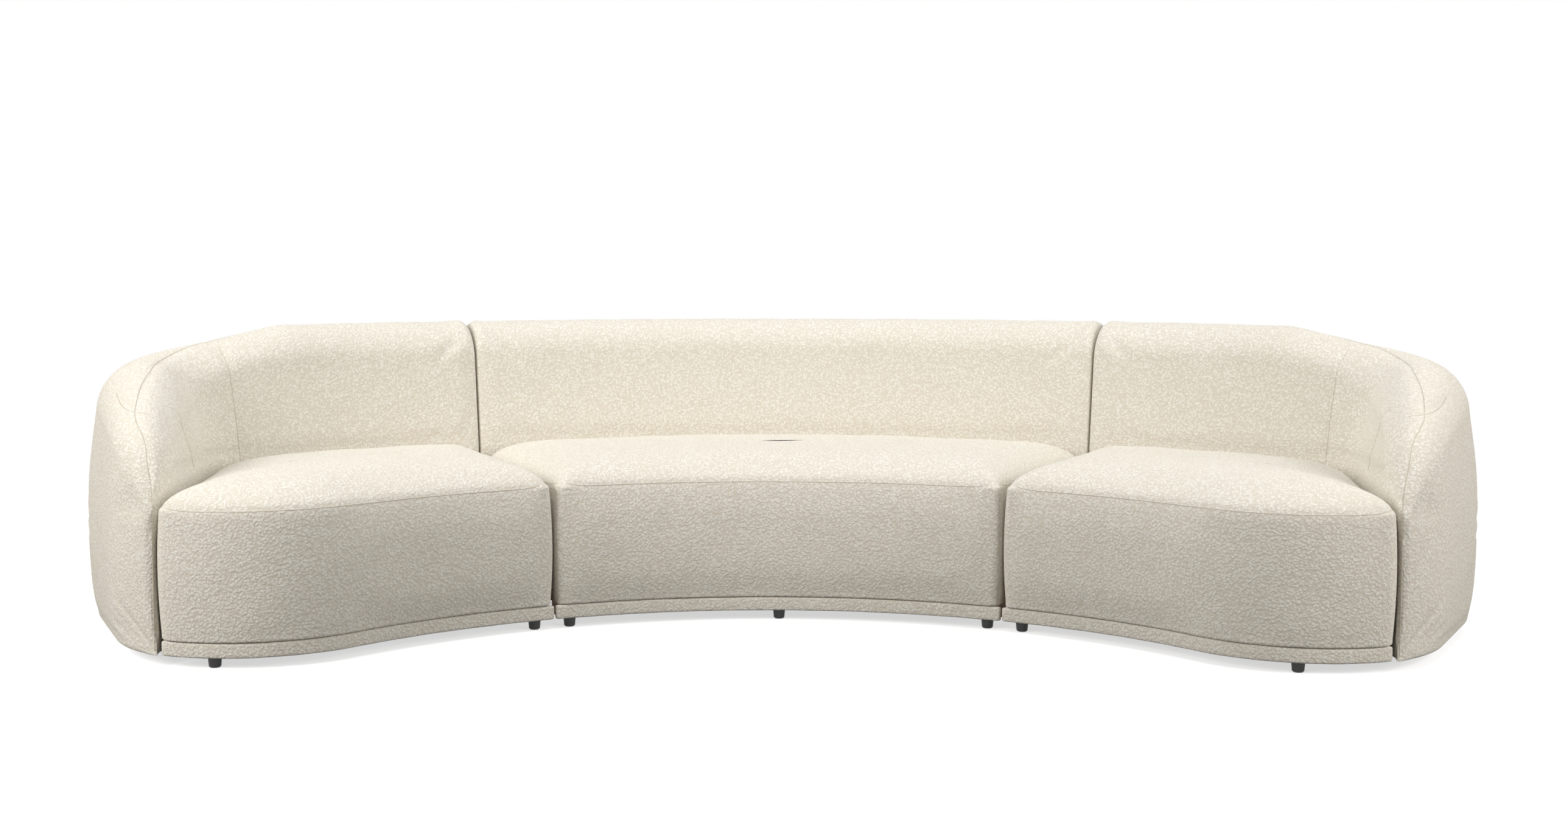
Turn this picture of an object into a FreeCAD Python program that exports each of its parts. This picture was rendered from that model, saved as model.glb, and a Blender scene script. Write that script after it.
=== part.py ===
import FreeCAD, Part
import Sketcher

import math
import os

os.makedirs("parts", exist_ok=True)

# A three-piece curved sofa: an armless centre module between two end modules whose backs
# wrap round into arms. Millimetres and degrees. The row's origin is on the floor under the
# middle of the whole, +X to the right seen from the front, the front faces -Y, +Z is up.
# Plan angles are counted from +Y about the arc centre, which lies in front of the sofa.

doc = FreeCAD.newDocument("curved_sofa")
sheet = doc.addObject("Spreadsheet::Sheet", "Sizes")

DRIVING = {
    # the plan of the seats
    "band_radius": 1264,
    "joint_angle": 26.33,
    "joint_clearance_angle": 0.07,
    "front_turn_angle": 51,
    "lobe_radius": 362,
    "seat_overhang": 9,
    "seat_corner_radius": 24,
    # the plan of the back and the arms
    "back_inner_radius": 1943,
    "wall_thickness": 257,
    "inner_corner_angle": 47,
    "inner_corner_radius": 170,
    "outer_corner_angle": 51,
    "outer_corner_radius": 250,
    "arm_front_radius": 367,
    "arm_inner_x": 1391,
    "arm_front_y": 698,
    # heights
    "foot_height": 26,
    "band_height": 35,
    "rail_height": 170,
    "seam_height": 365,
    "crown_rise": 62,
    "back_height": 760,
    "knee_height": 405,
    # the shape of the soft outsides
    "crown_reach": 150,
    "crown_start_angle": 22,
    "crown_end_angle": 80,
    "seat_side_draw": 6,
    "back_lean": 26,
    "outer_barrel": 20,
    "end_round": 30,
    "end_side_round": 9,
    "arm_fall": 205,
    "arm_fall_power": 1.15,
    "arm_nose_drop": 180,
    "arm_nose_share": 0.25,
    "knee_margin": 20,
    # upholstery
    "cover_thickness": 3,
    "rear_strip": 4,
    "arm_front_strip": 100,
    "cutter_spare": 5,
    "ease": 0.3,
    "back_foam_depth": 42,
    "crest_foam_depth": 100,
    "front_pad_depth": 19,
    "pad_end_gap": 1,
    # frame
    "board": 20,
    "panel": 18,
    "rail_setback": 17,
    "rib_depth": 160,
    "rib_gap": 2,
    "arm_rib_depth": 66,
    "arm_rib_height": 396,
    "top_rail_width": 60,
    "back_end_inset": 16,
    "cross_rail_angle": 9,
    "rib_spacing_angle": 10.4,
    "lobe_end_angle": 19.5,
    "lobe_rail_short_angle": 7,
    "end_cross_rail_angle": 35,
    "end_rib_angle": 28.4,
    "end_rib_spacing_angle": 5.9,
    "arm_frame_start": 150,
    "arm_rib_spacing": 130,
    # springs and webbing
    "spring_wire": 3.8,
    "spring_pitch": 56,
    "spring_width": 46,
    "spring_spacing_angle": 6,
    "spring_end_run": 30,
    "spring_end_gap": 2,
    "end_spring_angle": 29.6,
    "lobe_spring_angle": 52.5,
    "lobe_spring_spacing_angle": 3.5,
    "clip_height": 7.2,
    "clip_length": 16,
    "clip_width": 24,
    "webbing_thickness": 1.5,
    "webbing_width": 50,
    "webbing_first_height": 420,
    "webbing_spacing": 80,
    # feet and their bolts
    "foot_top_radius": 16,
    "foot_bottom_radius": 14,
    "foot_edge": 3,
    "foot_setback": 34,
    "foot_inset": 45,
    "rear_foot_inset": 90,
    "bolt_radius": 4,
    "bolt_bore_gap": 0.1,
    "bolt_length": 32,
    "bolt_floor": 10,
    "block_depth": 68,
    "block_width": 60,
    "right_arm_foot_angle": -11.8,
    "left_arm_foot_angle": 3.6,
    # connectors between the modules
    "connector_front_radius": 1430,
    "connector_spacing": 370,
    "plate_thickness": 3,
    "plate_length": 70,
    "plate_width": 64,
    "tongue_reach": 42,
    "tongue_width": 34,
    "pin_radius": 5,
    "slot_gap": 0.3,
    "screw_radius": 2,
    "screw_head_radius": 4,
    "screw_head_height": 1.5,
    "screw_length": 18,
    "screw_spacing": 44,
    "screw_edge": 12,
    "dust_cover_thickness": 1,
    "dust_cover_gap": 5,
}

# sizes that follow from others: the ribs end just below the foam of the crest
FOLLOWING = {
    "rib_height": "=back_height - crest_foam_depth - foot_height - panel * 2 - rib_gap",
}

# how far a cutting solid stands out past the face that it opens
PAST = 1


class Size:
    """A number together with the sheet expression that gives it."""

    def __init__(self, number, text):
        self.number = float(number)
        self.text = text

    def __add__(self, other):
        other = sized(other)
        return Size(self.number + other.number, "(" + self.text + " + " + other.text + ")")

    def __sub__(self, other):
        other = sized(other)
        return Size(self.number - other.number, "(" + self.text + " - " + other.text + ")")

    def __mul__(self, other):
        other = sized(other)
        return Size(self.number * other.number, self.text + " * " + other.text)

    def __truediv__(self, other):
        other = sized(other)
        return Size(self.number / other.number, self.text + " / (" + other.text + ")")

    def __neg__(self):
        return sized(0) - self


def sized(value):
    """A plain number becomes a Size, and a Size stays as it is."""
    if isinstance(value, Size):
        return value
    return Size(value, "(" + repr(float(value)) + ")")


def sine(angle):
    return Size(math.sin(math.radians(angle.number)), "sin(" + angle.text + ")")


def cosine(angle):
    return Size(math.cos(math.radians(angle.number)), "cos(" + angle.text + ")")


for row, (alias, content) in enumerate({**DRIVING, **FOLLOWING}.items(), 1):
    sheet.set("A" + str(row), alias)
    sheet.set("B" + str(row), str(content))
    sheet.setAlias("B" + str(row), alias)
doc.recompute()


def size(alias):
    return Size(sheet.get(alias), "Sizes." + alias)


# Plan values that several pieces share
band_radius = size("band_radius")
cover = size("cover_thickness")
ease = size("ease")
board = size("board")
panel = size("panel")
joint_angle = size("joint_angle")
joint_gap = size("joint_clearance_angle")
turn_angle = size("front_turn_angle")
corner_angle = size("inner_corner_angle")
lobe_distance = band_radius + size("lobe_radius")
lobe_x = lobe_distance * sine(turn_angle)
lobe_y = lobe_distance * cosine(turn_angle)
front_edge_y = lobe_y - size("lobe_radius") - size("seat_overhang")
outer_radius = size("back_inner_radius") + size("wall_thickness")
arc_centre_y = -(outer_radius + front_edge_y) / 2
seat_radius = band_radius - size("seat_overhang")
pad_radius = seat_radius + size("seat_side_draw") + cover + ease
front_rail_radius = pad_radius + size("front_pad_depth") + ease
front_rail_back = front_rail_radius + board
rib_radius = size("back_inner_radius") + size("back_foam_depth") + size("webbing_thickness") + ease * 3
rear_rail_radius = rib_radius - ease - board
rib_back = rib_radius + size("rib_depth")

# Heights that several pieces share
base_level = size("foot_height")
frame_level = base_level + size("band_height")
rail_top = frame_level + size("rail_height")
foam_level = rail_top + size("clip_height") + ease
rib_level = base_level + panel
top_rail_level = rib_level + size("rib_height") + ease
arm_rail_level = rib_level + size("arm_rib_height") + ease

nodes = []


def node(item, label):
    """Gives an object the name of its node and puts it on the list that is written."""
    item.Label = label
    nodes.append(item)
    return item


def bundle(items, name):
    """Holds separate solids together in one object."""
    held = doc.addObject("Part::Compound", name)
    held.Links = items
    return held


def group(items, label):
    """Puts separate solids under one node."""
    return node(bundle(items, label), label)


def bind(item, **values):
    for name, value in values.items():
        item.setExpression(name, sized(value).text)


def place(item, x, y, level, turn):
    """Sets an object at a place in the arc-centred plan, turned about the vertical."""
    y = arc_centre_y + y
    spot = FreeCAD.Vector(x.number, y.number, sized(level).number)
    item.Placement = FreeCAD.Placement(spot, FreeCAD.Rotation(FreeCAD.Vector(0, 0, 1), turn.number))
    item.setExpression("Placement.Base.x", x.text)
    item.setExpression("Placement.Base.y", y.text)
    item.setExpression("Placement.Base.z", sized(level).text)
    item.setExpression("Placement.Rotation.Angle", turn.text)


def place_polar(item, radius, angle, lateral, level):
    """Local Y points away from the arc centre, and local X to larger plan angles."""
    radius, angle, lateral = sized(radius), sized(angle), sized(lateral)
    x = radius * sine(angle) + lateral * cosine(angle)
    y = radius * cosine(angle) - lateral * sine(angle)
    place(item, x, y, level, -angle)


def plane_of(body, role):
    for feature in body.Origin.OriginFeatures:
        if feature.Role == role:
            return feature
    raise ValueError(role)


def outline_sketch(body, role, corners, arcs):
    """A closed sketch through corners; arcs maps an edge's number to its centre and direction."""
    sketch = body.newObject("Sketcher::SketchObject", body.Name + "_outline")
    sketch.AttachmentSupport = [(plane_of(body, role), "")]
    sketch.MapMode = "FlatFace"
    count = len(corners)
    ends = []
    for number, (across, up) in enumerate(corners):
        start = FreeCAD.Vector(across.number, up.number, 0)
        finish = FreeCAD.Vector(*(value.number for value in corners[(number + 1) % count]), 0)
        if number in arcs:
            (centre_across, centre_up), left_turn = arcs[number]
            centre = FreeCAD.Vector(centre_across.number, centre_up.number, 0)
            first, second = (start, finish) if left_turn else (finish, start)
            begin = math.atan2(first.y - centre.y, first.x - centre.x)
            end = math.atan2(second.y - centre.y, second.x - centre.x)
            circle = Part.Circle(centre, FreeCAD.Vector(0, 0, 1), (first - centre).Length)
            sketch.addGeometry(Part.ArcOfCircle(circle, begin, end), False)
            ends.append((1, 2) if left_turn else (2, 1))
        else:
            sketch.addGeometry(Part.LineSegment(start, finish), False)
            ends.append((1, 2))
    for number in range(count):
        following = (number + 1) % count
        join = ("Coincident", number, ends[number][1], following, ends[following][0])
        sketch.addConstraint(Sketcher.Constraint(*join))
    for number, corner in enumerate(corners):
        for kind, value in zip(("DistanceX", "DistanceY"), corner):
            mark = Sketcher.Constraint(kind, -1, 1, number, ends[number][0], value.number)
            sketch.setExpression("Constraints[" + str(sketch.addConstraint(mark)) + "]", value.text)
    for number, ((centre_across, centre_up), left_turn) in arcs.items():
        mark = Sketcher.Constraint("DistanceX", -1, 1, number, 3, centre_across.number)
        sketch.setExpression("Constraints[" + str(sketch.addConstraint(mark)) + "]", centre_across.text)
    return sketch


def revolved(name, corners, arcs, start, end):
    """A section in radius and height, swept about the arc centre between two plan angles."""
    body = doc.addObject("PartDesign::Body", name)
    sketch = outline_sketch(body, "YZ_Plane", corners, arcs)
    turned = body.newObject("PartDesign::Revolution", name + "_sweep")
    turned.Profile = sketch
    turned.ReferenceAxis = (sketch, ["V_Axis"])
    turned.Midplane = True
    bind(turned, Angle=end - start)
    sketch.Visibility = False
    place(body, sized(0), sized(0), 0, -(start + end) / 2)
    return body


def rectangle(inner, outer, low, high):
    return [(inner, low), (outer, low), (outer, high), (inner, high)]


def sector(name, inner, outer, low, high, start, end):
    """A curved board about the arc centre."""
    return revolved(name, rectangle(inner, outer, low, high), {}, start, end)


def lobe_sector(name, inner, outer, low, high, start, end):
    """A curved board about the lobe's centre; its angles are counted from -Y towards the arm."""
    body = sector(name, inner, outer, low, high, start, end)
    place(body, lobe_x, lobe_y, 0, (start + end) / 2 + 180)
    return body


def box(name, width, depth, height):
    item = doc.addObject("Part::Box", name)
    bind(item, Length=width, Width=depth, Height=height)
    return item


def cylinder(name, radius, height):
    item = doc.addObject("Part::Cylinder", name)
    bind(item, Radius=radius, Height=height)
    return item


def cut(name, base, tools):
    tool = tools[0]
    if len(tools) > 1:
        tool = doc.addObject("Part::MultiFuse", name + "_tools")
        tool.Shapes = tools
    item = doc.addObject("Part::Cut", name)
    item.Base = base
    item.Tool = tool
    return item


def fused(name, items):
    item = doc.addObject("Part::MultiFuse", name)
    item.Shapes = items
    return item


# Plan outlines of lines and circles, each with its own inset, for what no board describes


def unit(x, y):
    length = math.hypot(x, y)
    return (x / length, y / length)


class Ring:
    """A circle that bounds the plan; side is 1 where the plan lies inside it, -1 outside."""

    def __init__(self, x, y, radius, side):
        self.x, self.y, self.radius, self.side = x, y, radius, side

    def inset(self, depth):
        return Ring(self.x, self.y, self.radius - self.side * depth, self.side)

    def foot_of(self, point):
        """The circle's point nearest to a given point."""
        away = unit(point[0] - self.x, point[1] - self.y)
        return (self.x + away[0] * self.radius, self.y + away[1] * self.radius)

    def crossing(self, line):
        """Where a line meets the circle, the crossing further along the line first."""
        reach_x, reach_y = line.x - self.x, line.y - self.y
        along = reach_x * line.dx + reach_y * line.dy
        rest = along ** 2 - reach_x ** 2 - reach_y ** 2 + self.radius ** 2
        if rest < 0:
            return []
        return [line.at(-along + math.sqrt(rest)), line.at(-along - math.sqrt(rest))]

    def edge(self, start, finish):
        """The shorter arc from one of the circle's points to another."""
        middle = unit((start[0] + finish[0]) / 2 - self.x, (start[1] + finish[1]) / 2 - self.y)
        over = (self.x + middle[0] * self.radius, self.y + middle[1] * self.radius)
        return lambda level: Part.Arc(*(at_level(point, level) for point in (start, over, finish)))


class Line:
    """A line that bounds the plan, which lies to the left of its direction."""

    def __init__(self, x, y, dx, dy):
        self.x, self.y = x, y
        self.dx, self.dy = unit(dx, dy)

    def at(self, reach):
        return (self.x + self.dx * reach, self.y + self.dy * reach)

    def inset(self, depth):
        return Line(self.x - self.dy * depth, self.y + self.dx * depth, self.dx, self.dy)

    def foot_of(self, point):
        return self.at((point[0] - self.x) * self.dx + (point[1] - self.y) * self.dy)

    def edge(self, start, finish):
        return lambda level: Part.LineSegment(at_level(start, level), at_level(finish, level))


def at_level(point, level):
    return FreeCAD.Vector(point[0], point[1] + arc_centre_y.number, level)


def across_middle(point):
    return (-point[0], point[1])


def nearest(points, goal):
    return min(points, key=lambda point: math.hypot(point[0] - goal[0], point[1] - goal[1]))


class SeatPlan:
    """The seat's outline seen from above, for any inset of its edges."""

    def __init__(self, end_module):
        self.end_module = end_module
        gap = joint_gap.number
        inner = size("back_inner_radius").number - ease.number
        self.front = Ring(0, 0, seat_radius.number, -1)
        self.back = Ring(0, 0, inner, 1)
        if end_module:
            near = math.radians(joint_angle.number + gap)
            self.joint = Line(0, 0, -math.sin(near), -math.cos(near))
            self.lobe = Ring(lobe_x.number, lobe_y.number, seat_lobe_radius, 1)
            self.corner = Ring(*arm.corner, arm.corner_radius - ease.number, 1)
            self.side = Line(*arm.front, *arm.direction).inset(ease.number)
        else:
            near = math.radians(joint_angle.number - gap)
            self.joint = Line(0, 0, math.sin(near), math.cos(near))
            self.joint_left = Line(0, 0, math.sin(near), -math.cos(near))

    def rounded(self, first, second, goal):
        """The two ends and the circle of the rounding where two edges meet."""
        radius = size("seat_corner_radius").number
        line, ring = (first, second) if isinstance(first, Line) else (second, first)
        centre = nearest(ring.inset(radius).crossing(line.inset(radius)), goal)
        return first.foot_of(centre), second.foot_of(centre), Ring(*centre, radius, 1)

    def wire(self, level, depth, wall_depth=None):
        """The outline at a level; wall_depth is the inset along the back and the arm."""
        wall_depth = depth if wall_depth is None else wall_depth
        front, joint = self.front.inset(depth), self.joint.inset(depth)
        back = self.back.inset(wall_depth)
        near = math.radians(joint_angle.number)
        front_goal = (front.radius * math.sin(near), front.radius * math.cos(near))
        back_goal = (back.radius * math.sin(near), back.radius * math.cos(near))
        if not self.end_module:
            other = self.joint_left.inset(depth)
            leave_front, meet_joint, ring_a = self.rounded(front, joint, front_goal)
            leave_joint, meet_back, ring_b = self.rounded(joint, back, back_goal)
            ring_c = Ring(-ring_b.x, ring_b.y, ring_b.radius, 1)
            ring_d = Ring(-ring_a.x, ring_a.y, ring_a.radius, 1)
            pieces = [
                front.edge(across_middle(leave_front), leave_front),
                ring_a.edge(leave_front, meet_joint),
                joint.edge(meet_joint, leave_joint),
                ring_b.edge(leave_joint, meet_back),
                back.edge(meet_back, across_middle(meet_back)),
                ring_c.edge(across_middle(meet_back), across_middle(leave_joint)),
                other.edge(across_middle(leave_joint), across_middle(meet_joint)),
                ring_d.edge(across_middle(meet_joint), across_middle(leave_front)),
            ]
        else:
            lobe = self.lobe.inset(depth)
            side, corner = self.side.inset(wall_depth), self.corner.inset(wall_depth)
            turn = front.foot_of((lobe.x, lobe.y))
            into_corner = side.foot_of((corner.x, corner.y))
            far = math.radians(corner_angle.number)
            into_back = (back.radius * math.sin(far), back.radius * math.cos(far))
            leave_lobe, meet_side, ring_a = self.rounded(lobe, side, arm.front)
            leave_back, meet_joint, ring_b = self.rounded(back, joint, back_goal)
            leave_joint, meet_front, ring_c = self.rounded(joint, front, front_goal)
            pieces = [
                front.edge(meet_front, turn),
                lobe.edge(turn, leave_lobe),
                ring_a.edge(leave_lobe, meet_side),
                side.edge(meet_side, into_corner),
                corner.edge(into_corner, into_back),
                back.edge(into_back, leave_back),
                ring_b.edge(leave_back, meet_joint),
                joint.edge(meet_joint, leave_joint),
                ring_c.edge(leave_joint, meet_front),
            ]
        return Part.Wire([piece(level).toShape() for piece in pieces])


class ArmPlan:
    """The plan of the end module's back as it turns into the arm."""

    def __init__(self):
        inner = size("back_inner_radius").number
        self.corner_radius = size("inner_corner_radius").number
        far = math.radians(corner_angle.number)
        reach = inner - self.corner_radius
        self.corner = (reach * math.sin(far), reach * math.cos(far))
        self.front = (size("arm_inner_x").number, size("arm_front_y").number)
        # the arm's inner face runs from its front end to touch the inner corner's circle
        to_x, to_y = self.corner[0] - self.front[0], self.corner[1] - self.front[1]
        distance = math.hypot(to_x, to_y)
        heading = math.atan2(to_x, to_y) + math.asin(self.corner_radius / distance)
        self.direction = (math.sin(heading), math.cos(heading))
        self.across = (math.cos(heading), -math.sin(heading))
        self.length = math.sqrt(distance ** 2 - self.corner_radius ** 2)
        self.first_angle = 90 - corner_angle.number
        self.last_angle = -math.degrees(heading)
        outer = outer_radius.number
        self.turn_radius = size("outer_corner_radius").number
        wide = math.radians(size("outer_corner_angle").number)
        away = outer - self.turn_radius
        self.turn = (away * math.sin(wide), away * math.cos(wide))
        # the outer side is the common tangent of the outer corner's circle and the nose's
        nose_radius = size("arm_front_radius").number
        gap_x, gap_y = self.turn[0] - lobe_x.number, self.turn[1] - lobe_y.number
        spread = math.hypot(gap_x, gap_y)
        normal = math.atan2(gap_y, gap_x) - math.acos((nose_radius - self.turn_radius) / spread)
        self.side_normal = (math.cos(normal), math.sin(normal))
        self.nose = Ring(lobe_x.number, lobe_y.number, nose_radius, 1)
        self.bend = Ring(*self.turn, self.turn_radius, 1)
        self.rear = Ring(0, 0, outer, 1)

    def outer_reach(self, start, heading):
        """How far a ray from an inner point runs to the outer outline."""
        ray = Line(*start, *heading)
        side = math.degrees(math.atan2(self.side_normal[1], self.side_normal[0]))
        wide = 90 - size("outer_corner_angle").number
        for ring, low, high in ((self.rear, wide, 180), (self.bend, side, wide), (self.nose, -180, side)):
            for hit in ring.crossing(ray)[:1]:
                normal = math.degrees(math.atan2(hit[1] - ring.y, hit[0] - ring.x))
                if low - 1e-6 <= normal <= high + 1e-6:
                    return math.hypot(hit[0] - start[0], hit[1] - start[1])
        offset = self.side_normal[0] * self.nose.x + self.side_normal[1] * self.nose.y + self.nose.radius
        slope = ray.dx * self.side_normal[0] + ray.dy * self.side_normal[1]
        return (offset - start[0] * self.side_normal[0] - start[1] * self.side_normal[1]) / slope

    def stations(self, fan_steps, arm_shares):
        """Inner points, headings and wall thicknesses from the back's end to the arm's front."""
        found = []
        for step in range(fan_steps + 1):
            share = step / fan_steps
            angle = math.radians(self.first_angle + (self.last_angle - self.first_angle) * share)
            heading = (math.cos(angle), math.sin(angle))
            start = (self.corner[0] + heading[0] * self.corner_radius,
                     self.corner[1] + heading[1] * self.corner_radius)
            found.append((start, heading, self.outer_reach(start, heading)))
        for share in arm_shares:
            start = (self.front[0] + self.direction[0] * self.length * (1 - share),
                     self.front[1] + self.direction[1] * self.length * (1 - share))
            found.append((start, self.across, self.outer_reach(start, self.across)))
        return found

    def crest(self, start, depth):
        """The height of the top above an inner point: it falls towards the arm's front."""
        first = self.corner[1] + self.corner_radius * math.sin(math.radians(self.first_angle))
        share = max(0.0, (first - start[1]) / (first - self.front[1] - depth))
        top = size("back_height").number - size("arm_fall").number * share ** size("arm_fall_power").number
        nose = size("arm_nose_share").number
        over = min(1.0, max(0.0, (share - 1 + nose) / nose))
        return top - size("arm_nose_drop").number * (1 - math.sqrt(1 - over ** 2))


# how many steps a loft takes round the inner corner, over a rounded end, up a seat's side and over its crown
FAN_STEPS = 7
CAP_STEPS = 4
SIDE_STEPS = 4
CROWN_STEPS = 5
# where the loft's sections stand along the arm, from the corner to the front, and its hollow's
ARM_SHARES = (0.2, 0.38, 0.54, 0.66, 0.76, 0.84, 0.9, 0.95, 0.98, 1)
HOLLOW_SHARES = (0.25, 0.5, 0.75, 1)
seat_lobe_radius = (size("lobe_radius") + size("seat_overhang")).number
arm = ArmPlan()


def wall_marks(thickness, top, depth, low):
    """The corners of the wall's section, across from its inner face and up, for one inset."""
    share = thickness / size("wall_thickness").number
    lean = size("back_lean").number * share
    barrel = size("outer_barrel").number * share
    left, right = depth, thickness - depth
    half = (right - barrel - left - lean) / 2
    shoulder = top - depth - half
    knee = min(size("knee_height").number, shoulder - size("knee_margin").number)
    return {
        "low": low, "left": left, "right": right, "lean": lean, "barrel": barrel,
        "half": half, "shoulder": shoulder, "knee": knee, "top": top - depth,
    }


def wall_wire(station, top, depth, low):
    """The wall's section at a station: a leaning inner face, a round top, a barrelled outside."""
    start, heading, thickness = station
    marks = wall_marks(thickness, top, depth, low)

    def spot(across, up):
        return at_level((start[0] + heading[0] * across, start[1] + heading[1] * across), up)

    outer_foot = spot(marks["right"] - marks["barrel"], marks["low"])
    outer_wide = spot(marks["right"], (marks["low"] + marks["shoulder"]) / 2)
    outer_top = spot(marks["right"] - marks["barrel"], marks["shoulder"])
    middle = marks["left"] + marks["lean"] + marks["half"]
    crest = spot(middle, marks["top"])
    part_way = marks["half"] * math.sqrt(0.5)
    outer_over = spot(middle + part_way, marks["shoulder"] + part_way)
    inner_over = spot(middle - part_way, marks["shoulder"] + part_way)
    inner_top = spot(marks["left"] + marks["lean"], marks["shoulder"])
    inner_knee = spot(marks["left"], marks["knee"])
    inner_foot = spot(marks["left"], marks["low"])
    edges = [
        Part.LineSegment(inner_foot, outer_foot),
        Part.Arc(outer_foot, outer_wide, outer_top),
        Part.Arc(outer_top, outer_over, crest),
        Part.Arc(crest, inner_over, inner_top),
        Part.LineSegment(inner_top, inner_knee),
        Part.LineSegment(inner_knee, inner_foot),
    ]
    return Part.Wire([edge.toShape() for edge in edges])


def hollow_wire(station, top):
    """The frame's room inside the wall, open below the seat's foam towards the seat."""
    start, heading, thickness = station
    depth = size("back_foam_depth").number
    spare = size("cutter_spare").number
    low = base_level.number - spare
    high = top - size("crest_foam_depth").number
    step = foam_level.number
    marks = [(-spare, low), (thickness - depth, low), (thickness - depth, high), (depth, high),
             (depth, step), (-spare, step)]
    corners = [at_level((start[0] + heading[0] * across, start[1] + heading[1] * across), up)
               for across, up in marks]
    return Part.makePolygon(corners + corners[:1])


def lofted(wires):
    shape = Part.makeLoft(wires, True, False)
    if shape.Volume < 0:
        shape.reverse()
    return shape


def feature(name, shape):
    item = doc.addObject("Part::Feature", name)
    item.Shape = shape
    item.Placement = FreeCAD.Placement()
    return item


def wall_corners(depth, low):
    """The back's section about the arc centre, as sizes, for one inset."""
    thickness = size("wall_thickness")
    inner = size("back_inner_radius") + depth
    outer = size("back_inner_radius") + thickness - depth
    lean, barrel = size("back_lean"), size("outer_barrel")
    half = (outer - barrel - inner - lean) / 2
    shoulder = size("back_height") - depth - half
    middle = inner + lean + half
    # the barrel's circle: its middle stands as far out as the sagitta needs
    span = (shoulder - low) / 2
    barrel_radius = (span * span + barrel * barrel) / (barrel * 2)
    barrel_centre = (outer - barrel_radius, low + span)
    corners = [
        (inner, low),
        (outer - barrel, low),
        (outer - barrel, shoulder),
        (middle, shoulder + half),
        (inner + lean, shoulder),
        (inner, size("knee_height")),
    ]
    arcs = {1: (barrel_centre, True), 2: ((middle, shoulder), True), 3: ((middle, shoulder), True)}
    return corners, arcs


def hollow_corners(low):
    """The frame's room inside the back about the arc centre, as sizes."""
    inner = size("back_inner_radius")
    depth = size("back_foam_depth")
    outer = outer_radius - depth
    high = size("back_height") - size("crest_foam_depth")
    past = inner - size("cutter_spare")
    return [(past, low), (outer, low), (outer, high), (inner + depth, high), (inner + depth, foam_level),
            (past, foam_level)]


# The soft seats: stacked outlines make drawn-in sides and a crowned top


def seat_side(skin, low, high):
    """Levels and insets up the seat's drawn-in side."""
    bottom = frame_level.number
    half = (size("seam_height").number - bottom) / 2
    draw = size("seat_side_draw").number
    levels = [low + (high - low) * step / SIDE_STEPS for step in range(SIDE_STEPS + 1)]
    return [(level, skin + draw * min(1, ((level - bottom - half) / half) ** 2)) for level in levels]


def seat_crown(skin):
    """Levels and insets over the seat's crown, from its seam up."""
    seam = size("seam_height").number - skin
    first = math.radians(size("crown_start_angle").number)
    last = math.radians(size("crown_end_angle").number)
    rise, reach = size("crown_rise").number, size("crown_reach").number
    edge = skin + size("seat_side_draw").number
    crown = []
    for step in range(CROWN_STEPS + 1):
        angle = first + (last - first) * step / CROWN_STEPS
        level = seam + rise * (math.sin(angle) - math.sin(first)) / (1 - math.sin(first))
        crown.append((level, edge + reach * (math.cos(first) - math.cos(angle))))
    return crown


def seat_block(plan, skin, low):
    seam = size("seam_height").number - skin
    side = seat_side(skin, low, seam)
    side[-1] = seat_crown(skin)[0]
    body = lofted([plan.wire(level, depth) for level, depth in side])
    top = lofted([plan.wire(level, depth) for level, depth in seat_crown(skin)])
    return body.fuse(top)


def prism(wire, height):
    return Part.Face(wire).extrude(FreeCAD.Vector(0, 0, height))


def seat_pieces(prefix, plan):
    """The sewn seat cover, open below and behind, and the foam slab under its top."""
    skin = cover.number
    low = frame_level.number
    step = foam_level.number
    under = low - size("cutter_spare").number
    inside = seat_block(plan, skin, under)
    # the rails pass out behind, below the foam, between two strips of the cover
    strip = skin + size("seat_side_draw").number + size("rear_strip").number
    behind = -size("back_foam_depth").number
    opening = prism(plan.wire(under, strip, behind), step - under)
    front = size("arm_front_y").number + size("arm_front_strip").number
    wide = outer_radius.number * 2
    ahead = Part.makeBox(wide, front, wide, FreeCAD.Vector(-wide / 2, arc_centre_y.number, 0))
    opening = opening.cut(ahead)
    shell = seat_block(plan, 0, low).cut(inside).cut(opening)
    node(feature(prefix + "_seat_cover_shape", shell), prefix + "_seat_cover")
    foam = seat_block(plan, skin + ease.number, step)
    node(feature(prefix + "_seat_foam_shape", foam), prefix + "_seat_foam")


# Springs, feet, connectors and other small pieces


def spring_shape(length):
    """A sinuous spring along +Y from the origin: straight ends, and bends side to side."""
    end_run = size("spring_end_run").number
    room = length - end_run * 2
    turns = max(2, 2 * round(room / size("spring_pitch").number))
    bend = room / turns / 2
    reach = size("spring_width").number / 2 - bend
    part_way = bend * math.sqrt(0.5)

    def spot(across, along):
        return FreeCAD.Vector(across, along, 0)

    along = end_run - bend
    entry = spot(-bend, along + bend)
    quarter = Part.Arc(spot(0, along), spot(part_way - bend, along + part_way), entry)
    edges = [Part.LineSegment(spot(0, 0), spot(0, along)), quarter]
    across, along = entry.x, entry.y
    for turn in range(turns):
        way = 1 if turn % 2 else -1
        far = way * reach
        edges.append(Part.LineSegment(spot(across, along), spot(far, along)))
        outermost = spot(far + way * bend, along + bend)
        edges.append(Part.Arc(spot(far, along), outermost, spot(far, along + bend * 2)))
        across, along = far, along + bend * 2
    edges.append(Part.LineSegment(spot(across, along), spot(bend, along)))
    exit_end = spot(0, along + bend)
    edges.append(Part.Arc(spot(bend, along), spot(bend - part_way, along + bend - part_way), exit_end))
    edges.append(Part.LineSegment(exit_end, spot(0, length)))
    path = Part.Wire([edge.toShape() for edge in edges])
    circle = Part.Circle(spot(0, 0), FreeCAD.Vector(0, 1, 0), size("spring_wire").number / 2)
    return path.makePipeShell([Part.Wire([circle.toShape()])], True, False)


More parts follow.
